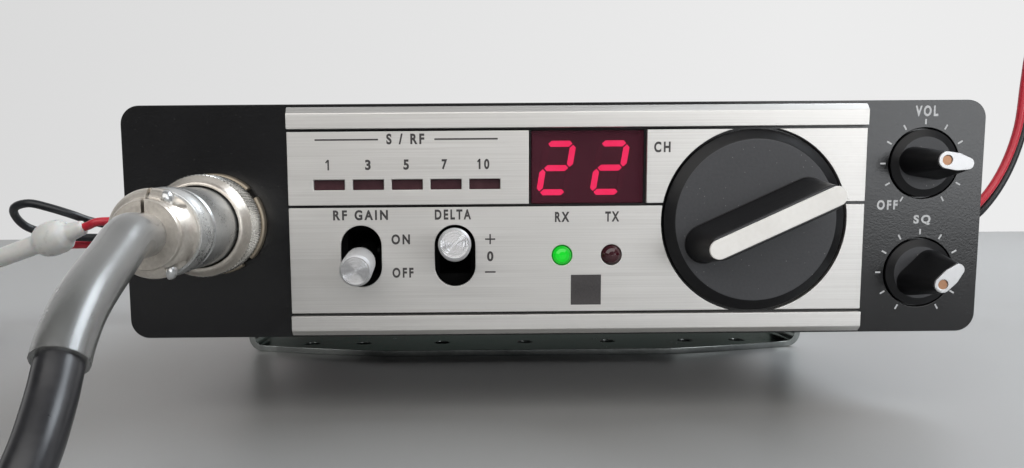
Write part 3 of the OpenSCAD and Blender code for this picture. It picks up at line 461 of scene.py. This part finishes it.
black_run = [Vector((-40.2, 80, 37)) / 1000] + through([
    (-40.2, 82, 37), (-40.2, 88, 37), (-52, 103, 38), (-80, 107, 38.6), (-114, 96.4, 38.4), (-139, 71.4, 38.4),
    (-155, 54.4, 38.9), (-165.1, 43, 41.8), (-170.8, 37, 44.9), (-178, 34, 47.7), (-185.2, 33.4, 49.4),
    (-191.9, 35.6, 47.8), (-193.8, 40, 43.9), (-191.5, 44.6, 39.6), (-183.5, 48, 36.6), (-171.3, 51, 35.2),
    (-152, 58.4, 34.9), (-131, 75.4, 33.4), (-103.5, 95, 26.6), (-72, 107.2, 15.6), (-41, 112.2, 6), (-10, 113.6, 1.6),
    (30, 113.1, 1.6), (65, 110.6, 1.6), (98, 102.8, 1.6), (126, 92, 3.6), (152, 80, 11.5), (176, 70.6, 25.4),
    (191, 65, 37), (199.2, 63, 46.2), (206.7, 62.8, 59.6), (211.6, 62.8, 76.2), (213, 62.8, 94.4), (214.6, 63.8, 106.4),
    (219.6, 66, 115.4), (227.6, 68.6, 119.4), (235.8, 71, 115), (241.6, 73.8, 100.4), (245, 75.4, 75.4),
    (247.4, 76, 45.6), (249.6, 76, 20), (252, 73, 8.6), (255.6, 65, 4.2), (256.6, 56, 4), (256.6, 50, 4),
], 5) + [Vector((256.6, 48, 4)) / 1000]
loop_start = 31
black_in_run, black_out_run = black_run[:loop_start + 1], black_run[loop_start:]
red_vinyl = grained("wire_red", (0.50, 0.018, 0.035), (0.66, 0.035, 0.06), (0.28, 0.38), 900, 80, 0.00005,
                    Specular_IOR_Level=0.5)
black_vinyl = grained("wire_black", (0.007, 0.008, 0.010), (0.016, 0.018, 0.021), (0.30, 0.42), 900, 80, 0.00005,
                      Specular_IOR_Level=0.5)
wire_radius = 0.0016
red_in = tube("red_wire_in", red_in_run, wire_radius, 4)
red_out = tube("red_wire_out", red_out_run, wire_radius, 4)
black_in = tube("black_wire_in", black_in_run, wire_radius, 4)
black_out = tube("black_wire_out", black_out_run, wire_radius, 4)
for wire, paint in ((red_in, red_vinyl), (red_out, red_vinyl), (black_in, black_vinyl), (black_out, black_vinyl)):
    coat(wire, paint)
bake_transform(red_in)
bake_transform(black_in)
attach(red_out, "bracket")
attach(black_out, "bracket")
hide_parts("red_lead_in")
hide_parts("red_lead_out")
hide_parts("black_lead")
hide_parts("black_lead")


# Bracket: a strip of plated sheet steel bent to a U, its base bowed out in the middle and punched
# with seven screw holes, its ears rounded round the tilt axis.
def copied(node, name):
    """A loose copy of a CAD node's shape, and the body that the node rides on."""
    only(frame["nodes"][node])
    bpy.ops.object.duplicate()
    piece = bpy.context.object
    piece.name = name
    body = piece["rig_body"]
    piece.parent = None
    del piece["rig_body"], piece["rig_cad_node"]
    return piece, body


def broken_edges(node, name, paint, width, steps=2, corner=32):
    """A CAD node's shape in its paint, its sharp edges rounded a little; it stands for the node."""
    piece, body = copied(node, name)
    bpy.ops.object.mode_set(mode="EDIT")
    bpy.ops.mesh.select_all(action="SELECT")
    bpy.ops.mesh.customdata_custom_splitnormals_clear()
    bpy.ops.mesh.remove_doubles(threshold=0.000002)
    bpy.ops.mesh.dissolve_limited(angle_limit=math.radians(0.4))
    bpy.ops.object.mode_set(mode="OBJECT")
    edges = piece.modifiers.new("edges", "BEVEL")
    edges.width = width
    edges.segments = steps
    edges.limit_method = "ANGLE"
    edges.angle_limit = math.radians(corner)
    bpy.ops.object.modifier_apply(modifier=edges.name)
    bpy.ops.object.shade_smooth_by_angle(angle=math.radians(38))
    shading = piece.modifiers.new("shading", "WEIGHTED_NORMAL")
    shading.keep_sharp = True
    bpy.ops.object.modifier_apply(modifier=shading.name)
    coat(piece, paint)
    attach(piece, body)
    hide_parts(node)
    return piece


zinc = grained("zinc_plate", (0.26, 0.28, 0.272), (0.40, 0.42, 0.41), (0.18, 0.28), 700, 55, 0.00003,
               Metallic=1.0, Specular_Tint=(0.12, 0.13, 0.125, 1))
broken_edges("mounting_bracket", "bracket_strip", zinc, 0.0004)

# Case: plated chassis, two black painted covers with countersunk screws, boards and loudspeaker
# inside, and the heat sink, sockets and grommet on the back.
plate_steel = grained("plated_steel", (0.42, 0.42, 0.40), (0.60, 0.60, 0.57), (0.28, 0.45), 600, 70, 0.00003,
                      Metallic=0.9)
cover_paint = grained("cover_paint", (0.010, 0.010, 0.011), (0.022, 0.022, 0.023), (0.40, 0.56), 1300, 40, 0.0001)
anodised = grained("black_anodised", (0.010, 0.010, 0.010), (0.022, 0.022, 0.022), (0.36, 0.5), 900, 60, 0.00004,
                   Metallic=0.3)
board_green = grained("board_green", (0.03, 0.10, 0.03), (0.07, 0.18, 0.06), (0.35, 0.55), 500, 90, 0.00004)
component = grained("components", (0.20, 0.20, 0.19), (0.5, 0.5, 0.48), (0.3, 0.5), 400, 120, 0.00004, Metallic=0.5)
paper = grained("cone_paper", (0.012, 0.011, 0.010), (0.03, 0.027, 0.024), (0.75, 0.9), 1500, 120, 0.0002)
# The switch bodies are black, and are painted darker still and almost without gloss: a painted shade where they show in
# the slots.
switch_black = grained("switch_black", (0.0015, 0.0015, 0.0016), (0.003, 0.003, 0.0032), (0.7, 0.85), 1000, 70, 0.00004,
                       Specular_IOR_Level=0.1)
rubber = grained("rubber_black", (0.009, 0.009, 0.010), (0.02, 0.02, 0.021), (0.6, 0.78), 1000, 70, 0.00006)
for node, paint in (
    ("chassis", plate_steel), ("circuit_boards", board_green), ("board_parts", component),
    ("speaker_frame", plate_steel), ("speaker_cone", paper), ("rotary_controls", plate_steel),
    ("toggle_switches", switch_black), ("mic_capsule", component), ("channel_shaft", plate_steel),
    ("volume_shaft", plate_steel), ("squelch_shaft", plate_steel),
):
    coat(frame["nodes"][node], paint)
for node, name, paint, slot, width in (
    ("top_cover", "cover_upper", cover_paint, "cover_paint", 0.0003),
    ("bottom_cover", "cover_lower", cover_paint, "cover_paint", 0.0003),
    ("cover_screws", "cover_screw_heads", plate_steel, "steel", 0.00015),
    ("heat_sink", "heat_sink_fins", anodised, "heat_sink_black", 0.0003),
    ("antenna_socket", "antenna_socket_shell", plate_steel, "steel", 0.0003),
    ("speaker_jack", "speaker_jack_bush", plate_steel, "steel", 0.0003),
    ("lead_grommet", "grommet_ring", rubber, "cable_black", 0.0008),
    ("pivot_washers", "washer_pair", rubber, "cable_black", 0.0004),
    ("left_thumbscrew", "thumb_left", rubber, "knob_black", 0.0003),
    ("right_thumbscrew", "thumb_right", rubber, "knob_black", 0.0003),
):
    broken_edges(node, name, paint, width)

# Front panel: one black moulding with rounded corners and a deep rim, its face left with a fine
# satin texture that has picked up a little dust.
dust, given, made = effect("dust", [("Count", "NodeSocketFloat", 420), ("Size", "NodeSocketFloat", 0.06)], ["Specks"])
where = add(dust, "TexCoord")
scatter = add(dust, "TexVoronoi")
grow = add(dust, "Math", "MULTIPLY")
near = add(dust, "Math", "LESS_THAN")
connect(dust,
        (where.outputs["Object"], scatter.inputs["Vector"]),
        (given.outputs["Count"], scatter.inputs["Scale"]),
        (scatter.outputs["Color"], grow.inputs[0]),
        (given.outputs["Size"], grow.inputs[1]),
        (scatter.outputs["Distance"], near.inputs[0]),
        (grow.outputs[0], near.inputs[1]),
        (near.outputs[0], made.inputs["Specks"]))


def dusted(material, count, size, colour):
    """Pale specks of dust over a material's own colour."""
    tree = material.node_tree
    shader = tree.nodes["Principled BSDF"]
    below = shader.inputs["Base Color"].links[0].from_socket
    specks = put(tree, dust, Count=count, Size=size)
    over = add(tree, "Mix")
    over.data_type = "RGBA"
    over.inputs["B"].default_value = (*colour, 1)
    connect(tree,
            (specks.outputs["Specks"], over.inputs["Factor"]),
            (below, over.inputs["A"]),
            (over.outputs["Result"], shader.inputs["Base Color"]))


panel_black = grained("panel_black", (0.003, 0.003, 0.0034), (0.006, 0.006, 0.007), (0.19, 0.25), 2200, 45, 0.00004)
dusted(panel_black, 800, 0.11, (0.06, 0.06, 0.058))
broken_edges("front_panel", "panel_moulding", panel_black, 0.0006, 3)

# Trim: two extruded rails and three flat plates of aluminium, brushed along their length and cut
# with bright edges.
brushing, given, made = effect("brushing", [("Stretch", "NodeSocketVector", (22, 1, 4600))], ["Tone", "Height"])
where = add(brushing, "TexCoord")
pull = add(brushing, "VectorMath", "MULTIPLY")
lines = add(brushing, "TexNoise")
lines.inputs["Scale"].default_value = 1
lines.inputs["Detail"].default_value = 4
lines.inputs["Roughness"].default_value = 0.65
connect(brushing,
        (where.outputs["Object"], pull.inputs[0]),
        (given.outputs["Stretch"], pull.inputs[1]),
        (pull.outputs["Vector"], lines.inputs["Vector"]),
        (lines.outputs["Fac"], made.inputs["Tone"]),
        (lines.outputs["Fac"], made.inputs["Height"]))
brushed, tree, shader = surface("brushed_aluminium", Metallic=0.9, IOR=1.8)
stroke = put(tree, brushing)
stroke_span = (0.25, 0.75)
tint(tree, stroke.outputs["Tone"], (0.60, 0.585, 0.565), (0.74, 0.73, 0.71), shader.inputs["Base Color"], stroke_span)
vary(tree, stroke.outputs["Tone"], 0.40, 0.52, shader.inputs["Roughness"], stroke_span)
relief(tree, stroke.outputs["Height"], shader, 0.5, 0.00003)
for node, name in (("trim_rails", "rail_pair"), ("meter_plate", "plate_meter"), ("channel_plate", "plate_channel"),
                   ("control_plate", "plate_controls")):
    broken_edges(node, name, brushed, 0.00016)


# Printing: dark grey words and lines on the aluminium, white ones round the small knobs, all screen
# printed; the square place between the lamps is a plain dark print.
panel_face, panel_foot, ink_film = -0.098, 20.4, 0.00006


def on_face(x, z, proud):
    """A place before the panel's face, z from the panel's lower edge, in mm; given back in metres."""
    return x / 1000, panel_face - proud / 1000, (z + panel_foot) / 1000


def printed(words, x, z, width, height, proud):
    """One printed word, the middle of its ink at x, z on the panel and its size given, in mm."""
    bpy.ops.object.select_all(action="DESELECT")
    bpy.ops.object.text_add(location=(0, 0, 0))
    letters = bpy.context.object.data
    letters.body = words
    letters.extrude = 0.05
    letters.offset = 0.04
    letters.space_character = 1.4
    bpy.ops.object.convert(target="MESH")
    bpy.ops.object.origin_set(type="ORIGIN_GEOMETRY", center="BOUNDS")
    word = bpy.context.object
    word.dimensions = (width / 1000, height / 1000, ink_film)
    word.rotation_euler = (math.radians(90), 0, 0)
    word.location = on_face(x, z, proud)
    bpy.ops.object.transform_apply(location=True, rotation=True, scale=True)
    return word


def bar(x, z, width, height, turn, proud):
    """One printed stroke or tick, turned in the panel's face by degrees, in mm."""
    bpy.ops.object.select_all(action="DESELECT")
    bpy.ops.mesh.primitive_cube_add(size=1, location=on_face(x, z, proud), rotation=(0, math.radians(turn), 0))
    stroke = bpy.context.object
    stroke.dimensions = (width / 1000, ink_film, height / 1000)
    bpy.ops.object.transform_apply(location=True, rotation=True, scale=True)
    return stroke


def joined(name, pieces, ink):
    """The printed bits as one piece of ink on the radio."""
    bpy.ops.object.select_all(action="DESELECT")
    for bit in pieces:
        bit.select_set(True)
    bpy.context.view_layer.objects.active = pieces[0]
    bpy.ops.object.join()
    piece = bpy.context.object
    piece.name = name
    coat(piece, ink)
    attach(piece, "radio")


dark_ink = grained("ink_dark", (0.030, 0.027, 0.028), (0.058, 0.052, 0.053), (0.45, 0.6), 2400, 300, 0.00001)
white_ink = grained("ink_white", (0.52, 0.53, 0.54), (0.68, 0.69, 0.70), (0.45, 0.6), 2400, 300, 0.00001)
plate_proud = 1.2
dark = [printed(*word, plate_proud) for word in (
    ("S / RF", -33.6, 44.7, 8.5, 2.4), ("1", -51.0, 39.0, 0.36, 2.3), ("3", -42.1, 39.0, 1.25, 2.3),
    ("5", -33.5, 39.0, 1.25, 2.3), ("7", -24.9, 39.0, 1.25, 2.3), ("10", -16.0, 39.0, 2.4, 2.3),
    ("RF GAIN", -44.0, 27.75, 12.4, 2.3), ("DELTA", -23.1, 27.75, 8.2, 2.3), ("ON", -35.0, 22.2, 4.2, 2.3),
    ("OFF", -34.6, 14.6, 4.8, 2.3), ("0", -14.7, 18.2, 1.45, 2.3), ("RX", 1.65, 27.0, 3.3, 2.3),
    ("TX", 13.0, 27.0, 3.2, 2.3), ("CH", 24.1, 42.5, 3.7, 2.4))]
dark += [bar(*stroke, plate_proud) for stroke in (
    (-46.8, 44.6, 14.2, 0.36, 0), (-20.0, 44.6, 14.2, 0.36, 0), (-14.7, 22.1, 2.3, 0.34, 0),
    (-14.7, 22.1, 0.34, 2.3, 0), (-14.7, 14.6, 2.4, 0.34, 0), (7.15, 10.35, 6.9, 6.9, 0),
    (-51.3, 39.8, 0.3, 0.85, 38), (-17.2, 39.8, 0.3, 0.85, 38))]
joined("print_dark", dark, dark_ink)
white = [printed(*word, 0.0) for word in (
    ("VOL", 84.0, 50.15, 5.2, 2.4), ("OFF", 76.05, 29.1, 4.7, 2.2), ("SQ", 84.2, 25.6, 3.9, 2.3))]
dial_x, dial_heights, tick_reach = 83.9, (38.45, 13.65), 9.3
for dial_z in dial_heights:
    for turn in range(-150, 151, 30):
        a = math.radians(turn)
        white.append(bar(dial_x + tick_reach * math.sin(a), dial_z + tick_reach * math.cos(a), 0.36, 1.2, turn, 0.0))
joined("print_white", white, white_ink)

# Display: a dark red filter window over a two-digit light-emitting module, and the red strip
# behind the five slots of the meter.
filter_red, tree, shader = surface("filter_red", Roughness=0.08, Alpha=0.45, IOR=1.5)
grain = put(tree, moulded_grain, Fine=300, Coarse=40)
tint(tree, grain.outputs["Tone"], (0.090, 0.016, 0.031), (0.120, 0.024, 0.043), shader.inputs["Base Color"])
coat(frame["nodes"]["display_window"], filter_red)
digit_red, tree, shader = surface("digit_red", Roughness=0.4, Emission_Strength=2.7, Base_Color=(0.5, 0.02, 0.05, 1))
grain = put(tree, moulded_grain, Fine=700, Coarse=250)
tint(tree, grain.outputs["Tone"], (0.9, 0.012, 0.09), (1.0, 0.03, 0.14), shader.inputs["Emission Color"])
coat(frame["nodes"]["lit_segments"], digit_red)
unlit = grained("digit_unlit", (0.070, 0.010, 0.020), (0.10, 0.016, 0.028), (0.35, 0.5), 700, 250, 0.00002)
dim = copied("lit_segments", "segments_unlit")[0]
slant = math.tan(math.radians(9.5))
figure_z, figure_middles, bar_reach, bar_step = 58.45, (0.65, 12.95), 3.0, 5.5


def upright(vert):
    """True for a point of the two lit upright bars of a figure."""
    h = vert.co.z * 1000 - figure_z
    u = min((vert.co.x * 1000 - middle - h * slant for middle in figure_middles), key=abs)
    return abs(abs(u) - bar_reach) < 0.8 and abs(abs(h) - bar_step / 2) < 2.6


pick(dim, "VERT", lambda vert: not upright(vert))
bpy.ops.mesh.delete(type="VERT")
bpy.ops.mesh.select_all(action="SELECT")
bpy.ops.mesh.remove_doubles(threshold=0.000002)
bpy.ops.object.mode_set(mode="OBJECT")
for vert in dim.data.vertices:
    step = bar_step if vert.co.z * 1000 < figure_z else -bar_step
    vert.co.x += step * slant / 1000
    vert.co.z += step / 1000
coat(dim, unlit)
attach(dim, "radio")
module_dark = grained("module_dark", (0.03, 0.009, 0.013), (0.05, 0.016, 0.02), (0.4, 0.55), 600, 60, 0.00003)
strip_red = grained("meter_strip_red", (0.036, 0.013, 0.018), (0.072, 0.028, 0.034), (0.12, 0.2), 500, 200, 0.00003)
coat(frame["nodes"]["display_module"], module_dark)
coat(frame["nodes"]["meter_filter"], strip_red)

# Lamps: two 5 mm light-emitting diodes, domes of coloured epoxy pushed through the control plate,
# the receive lamp lit.
lit_green, tree, shader = surface("lamp_green", Roughness=0.12, Emission_Strength=0.6, Coat_Weight=0.2)
grain = put(tree, moulded_grain, Fine=400, Coarse=220)
tint(tree, grain.outputs["Tone"], (0.0, 0.08, 0.004), (0.002, 0.16, 0.012), shader.inputs["Base Color"])
# The receive lamp's glow is painted darker towards the dome's rim as the dome turns away: a painted shade.
painted_rim_shade = add(tree, "LayerWeight")
painted_rim_shade.inputs["Blend"].default_value = 0.5
tint(tree, painted_rim_shade.outputs["Facing"], (0.006, 1.0, 0.03), (0.0, 0.10, 0.004), shader.inputs["Emission Color"],
     (0.05, 0.75))
unlit_red = grained("lamp_unlit", (0.025, 0.003, 0.006), (0.06, 0.006, 0.012), (0.1, 0.16), 300, 200, 0.00001,
                    Coat_Weight=0.5)
coat(frame["nodes"]["rx_lamp"], lit_green)
coat(frame["nodes"]["tx_lamp"], unlit_red)

# Channel knob: black moulding with a gloss bevelled ring, a satin grey face and a tapered grip bar
# that carries an off-white pointer strip.
gloss_black = grained("knob_gloss", (0.004, 0.004, 0.005), (0.009, 0.009, 0.010), (0.30, 0.40), 700, 60, 0.00001,
                      Specular_IOR_Level=0.28)
satin_grey = grained("knob_satin", (0.030, 0.031, 0.035), (0.052, 0.053, 0.058), (0.42, 0.56), 1600, 70, 0.00004)
dusted(satin_grey, 700, 0.13, (0.17, 0.17, 0.165))
pale = grained("pointer_pale", (0.82, 0.80, 0.765), (0.90, 0.885, 0.855), (0.4, 0.52), 900, 120, 0.00003)
knob_x, knob_z, ring_inside, ring_front = 0.0452, 0.0463, 0.0186, -0.1004


def knob_face(face):
    """True for the flat front of the knob, inside its ring."""
    r = math.hypot(face.center.x - knob_x, face.center.z - knob_z)
    return face.normal.y < -0.97 and face.center.y < ring_front and r < ring_inside


knob = broken_edges("channel_knob", "knob_channel", gloss_black, 0.00025, 2, 22)
paint_faces(knob, satin_grey, knob_face)
broken_edges("channel_pointer", "pointer_channel", pale, 0.00025)

# Small knobs: black mouldings with a grey face on the skirt and a tapered grip, capped by a bright
# oval pointer with a copper dimple at its index end.
bright = grained("pointer_bright", (0.52, 0.52, 0.525), (0.62, 0.62, 0.625), (0.38, 0.48), 900, 200, 0.00002,
                 Metallic=0.9)
copper = grained("dimple_copper", (0.26, 0.13, 0.07), (0.40, 0.22, 0.13), (0.3, 0.45), 900, 300, 0.00002, Metallic=0.7)
skirt_front, cap_front = -0.0995, -0.1109
for node, name, cap in (("volume_knob", "knob_volume", "volume_pointer"),
                        ("squelch_knob", "knob_squelch", "squelch_pointer")):
    piece = broken_edges(node, name, gloss_black, 0.0002, 2, 15)
    paint_faces(piece, satin_grey, lambda face: face.normal.y < -0.97 and face.center.y > skirt_front)
    piece = broken_edges(cap, name + "_cap", bright, 0.00012)
    paint_faces(piece, copper, lambda face: face.normal.y < -0.9 and face.center.y > cap_front)

# Toggles: two levers on cross pins with aluminium caps; the stems are painted near-black back from the caps,
# a painted shade for the slots. The caps are turned on a lathe in fine rings that light up like a fan.
spun_rings, given, made = effect(
    "spun_rings", [("Centre", "NodeSocketVector", (0, 0, 0)), ("Tilt", "NodeSocketVector", (0, 0, 0)),
                   ("Rings", "NodeSocketFloat", 30000), ("Lean", "NodeSocketFloat", 0.3)], ["Normal"])
where = add(spun_rings, "TexCoord")
middle = add(spun_rings, "Mapping")
middle.vector_type = "TEXTURE"
across_face = add(spun_rings, "VectorMath", "MULTIPLY")
across_face.inputs[1].default_value = (1, 0, 1)
reach = add(spun_rings, "VectorMath", "LENGTH")
outwards = add(spun_rings, "VectorMath", "NORMALIZE")
count = add(spun_rings, "Math", "MULTIPLY")
groove = add(spun_rings, "TexNoise")
groove.noise_dimensions = "1D"
groove.inputs["Scale"].default_value = 1
groove.inputs["Detail"].default_value = 0
slope = add(spun_rings, "Math", "MULTIPLY")
either_way = vary(spun_rings, groove.outputs["Fac"], -1, 1, slope.inputs[0], (0.2, 0.8))
either_way.clamp = False
lean = add(spun_rings, "VectorMath", "SCALE")
turned = add(spun_rings, "VectorTransform")
turned.vector_type, turned.convert_from, turned.convert_to = "VECTOR", "OBJECT", "WORLD"
plain = add(spun_rings, "NewGeometry")
leaning = add(spun_rings, "VectorMath", "ADD")
unit = add(spun_rings, "VectorMath", "NORMALIZE")
connect(spun_rings,
        (where.outputs["Object"], middle.inputs["Vector"]),
        (given.outputs["Centre"], middle.inputs["Location"]),
        (given.outputs["Tilt"], middle.inputs["Rotation"]),
        (middle.outputs["Vector"], across_face.inputs[0]),
        (across_face.outputs["Vector"], reach.inputs[0]),
        (across_face.outputs["Vector"], outwards.inputs[0]),
        (reach.outputs["Value"], count.inputs[0]),
        (given.outputs["Rings"], count.inputs[1]),
        (count.outputs[0], groove.inputs["W"]),
        (given.outputs["Lean"], slope.inputs[1]),
        (outwards.outputs["Vector"], lean.inputs[0]),
        (slope.outputs[0], lean.inputs["Scale"]),
        (lean.outputs["Vector"], turned.inputs["Vector"]),
        (plain.outputs["Normal"], leaning.inputs[0]),
        (turned.outputs["Vector"], leaning.inputs[1]),
        (leaning.outputs["Vector"], unit.inputs[0]),
        (unit.outputs["Vector"], made.inputs["Normal"]))


def spun(name, low, high, rough, lean, centre, tilt=0.0, **sockets):
    """Bright metal turned about an axis across the panel, in fine rings whose sides lean in and out."""
    material, tree, shader = surface(name, **sockets)
    grain_over(tree, shader, low, high, rough, 1800, 170)
    rings = put(tree, spun_rings, Centre=centre, Tilt=(tilt, 0, 0), Lean=lean)
    connect(tree, (rings.outputs["Normal"], shader.inputs["Normal"]))
    return material


lever_side = grained("lever_side", (0.60, 0.60, 0.61), (0.70, 0.70, 0.71), (0.42, 0.54), 1400, 160, 0.00002,
                     Metallic=0.6)
lever_slot_shade = grained("lever_slot_shade", (0.003, 0.003, 0.003), (0.006, 0.006, 0.006), (0.45, 0.6), 1400, 160, 0.00002)
cap_back = -0.1005
for node, name, across, tilt in (("gain_lever", "lever_gain", -0.044, 7), ("delta_lever", "lever_delta", -0.0227, -7)):
    piece = broken_edges(node, name, lever_side, 0.00025, 3)
    pivot = (across, -0.088, 0.0394)
    cap_metal = spun(name + "_aluminium", (0.62, 0.62, 0.63), (0.68, 0.68, 0.69), (0.16, 0.22), 1.0, pivot,
                     math.radians(tilt), Metallic=0.9)
    paint_faces(piece, cap_metal, lambda face: face.normal.y < -0.9)
    # Faces behind the cap's back are painted near-black: a painted shade of the slot.
    paint_faces(piece, lever_slot_shade, lambda face: face.center.y > cap_back)

# Microphone plug: nickel-plated brass socket nut, knurled coupling ring, plug body and a split
# clamp with two screws.
plug_axis = (-0.0768, -0.098, 0.0464)
aged = spun("nut_aged", (0.28, 0.235, 0.175), (0.40, 0.345, 0.27), (0.42, 0.55), 0.1, plug_axis, Metallic=0.8)
warm = spun("ring_nickel", (0.56, 0.51, 0.45), (0.80, 0.75, 0.68), (0.28, 0.40), 0.2, plug_axis, Metallic=0.9)
frosted = grained("plug_nickel", (0.44, 0.45, 0.45), (0.72, 0.72, 0.71), (0.24, 0.38), 2600, 140, 0.00005, Metallic=0.9)
sharp = grained("knurl_nickel", (0.80, 0.78, 0.73), (0.94, 0.92, 0.87), (0.20, 0.30), 2600, 300, 0.00001, Metallic=1.0)
for node, name, paint, width in (
    ("mic_socket", "socket_nut", aged, 0.0003), ("coupling_ring", "ring_coupling", warm, 0.0002),
    ("mic_plug", "plug_body", frosted, 0.0003), ("cable_clamp", "clamp_collar", warm, 0.0003),
    ("clamp_screws", "clamp_screw_pair", frosted, 0.0001),
):
    broken_edges(node, name, paint, width)
knurl_core, knurl_net, knurl_foot = 10.6, 10.8, 0.0037
teeth, row_count, row_height, tooth_height = 84, 8, 0.00104, 0.00026
bpy.ops.object.select_all(action="DESELECT")
bpy.ops.mesh.primitive_circle_add(vertices=teeth, radius=knurl_core / 1000, fill_type="NOTHING", location=(0, 0, 0))
knurl = bpy.context.object
knurl.name = "ring_knurl"
bpy.ops.object.mode_set(mode="EDIT")
bpy.ops.mesh.select_mode(type="EDGE")
bpy.ops.mesh.select_all(action="SELECT")
bpy.ops.transform.translate(value=(0, 0, knurl_foot))
for rise, swell in [(0, knurl_net / knurl_core)] + [(row_height, 1)] * row_count + [(0, knurl_core / knurl_net)]:
    bpy.ops.mesh.extrude_region_move(TRANSFORM_OT_translate={"value": (0, 0, rise)})
    bpy.ops.transform.resize(value=(swell, swell, 1), center_override=(0, 0, 0))
bpy.ops.object.mode_set(mode="OBJECT")
pick(knurl, "FACE", lambda face: abs(face.normal.z) < 0.5)
bpy.ops.mesh.poke(offset=0)
bpy.ops.object.mode_set(mode="OBJECT")
rows, close = [knurl_foot + row_height * k for k in range(row_count + 1)], 0.00002


def along_grid(edge):
    """True for an inner edge of the square net, up or round, that the diamonds don't need."""
    ends = [knurl.data.vertices[k].co for k in edge.vertices]
    on_rows = all(min(abs(end.z - row) for row in rows) < close for end in ends)
    on_rim = all(min(end.z - rows[0], rows[-1] - end.z) < close for end in ends)
    outside = all(end.xy.length > (knurl_core + knurl_net) / 2000 for end in ends)
    return on_rows and outside and not on_rim


pick(knurl, "EDGE", along_grid)
bpy.ops.mesh.dissolve_edges(use_verts=False)
bpy.ops.object.mode_set(mode="OBJECT")
pick(knurl, "FACE", lambda face: abs(face.normal.z) < 0.5 and len(face.vertices) == 4)
bpy.ops.mesh.poke(offset=tooth_height)
bpy.ops.mesh.select_all(action="SELECT")
bpy.ops.mesh.normals_make_consistent(inside=False)
bpy.ops.object.mode_set(mode="OBJECT")
knurl.rotation_euler = (math.radians(90), 0, 0)
knurl.location = plug_axis
bpy.ops.object.transform_apply(location=True, rotation=True, scale=True)
coat(knurl, sharp)
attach(knurl, "coupling_ring")

# Fuse holder and supply plug: the in-line holder of the red wire's fuse and the two-pole plug at the
# lead's end, both moulded in milky plastic and pushed over the wires.
milky = grained("milky_plastic", (0.68, 0.68, 0.655), (0.80, 0.80, 0.775), (0.25, 0.38), 500, 60, 0.00003,
                Subsurface_Weight=0.2, Subsurface_Scale=0.002)
fuse = broken_edges("fuse_holder", "fuse_tube", milky, 0.0004)
plug = broken_edges("supply_plug", "supply_plug_body", milky, 0.0006)

# Hand microphone: two black shells with a slotted grille, a ribbed talk bar in the side and a
# rubber boot round the cable.
shell_black = grained("shell_black", (0.012, 0.012, 0.013), (0.024, 0.024, 0.026), (0.42, 0.58), 1500, 60, 0.0001)
for node, name, paint, slot, width in (
    ("mic_back_shell", "shell_back", shell_black, "switch_black", 0.0008),
    ("mic_front_shell", "shell_front", shell_black, "switch_black", 0.0008),
    ("talk_bar", "bar_talk", shell_black, "switch_black", 0.0006),
    ("mic_boot", "boot_cable", rubber, "cable_black", 0.0004),
):
    broken_edges(node, name, paint, width)
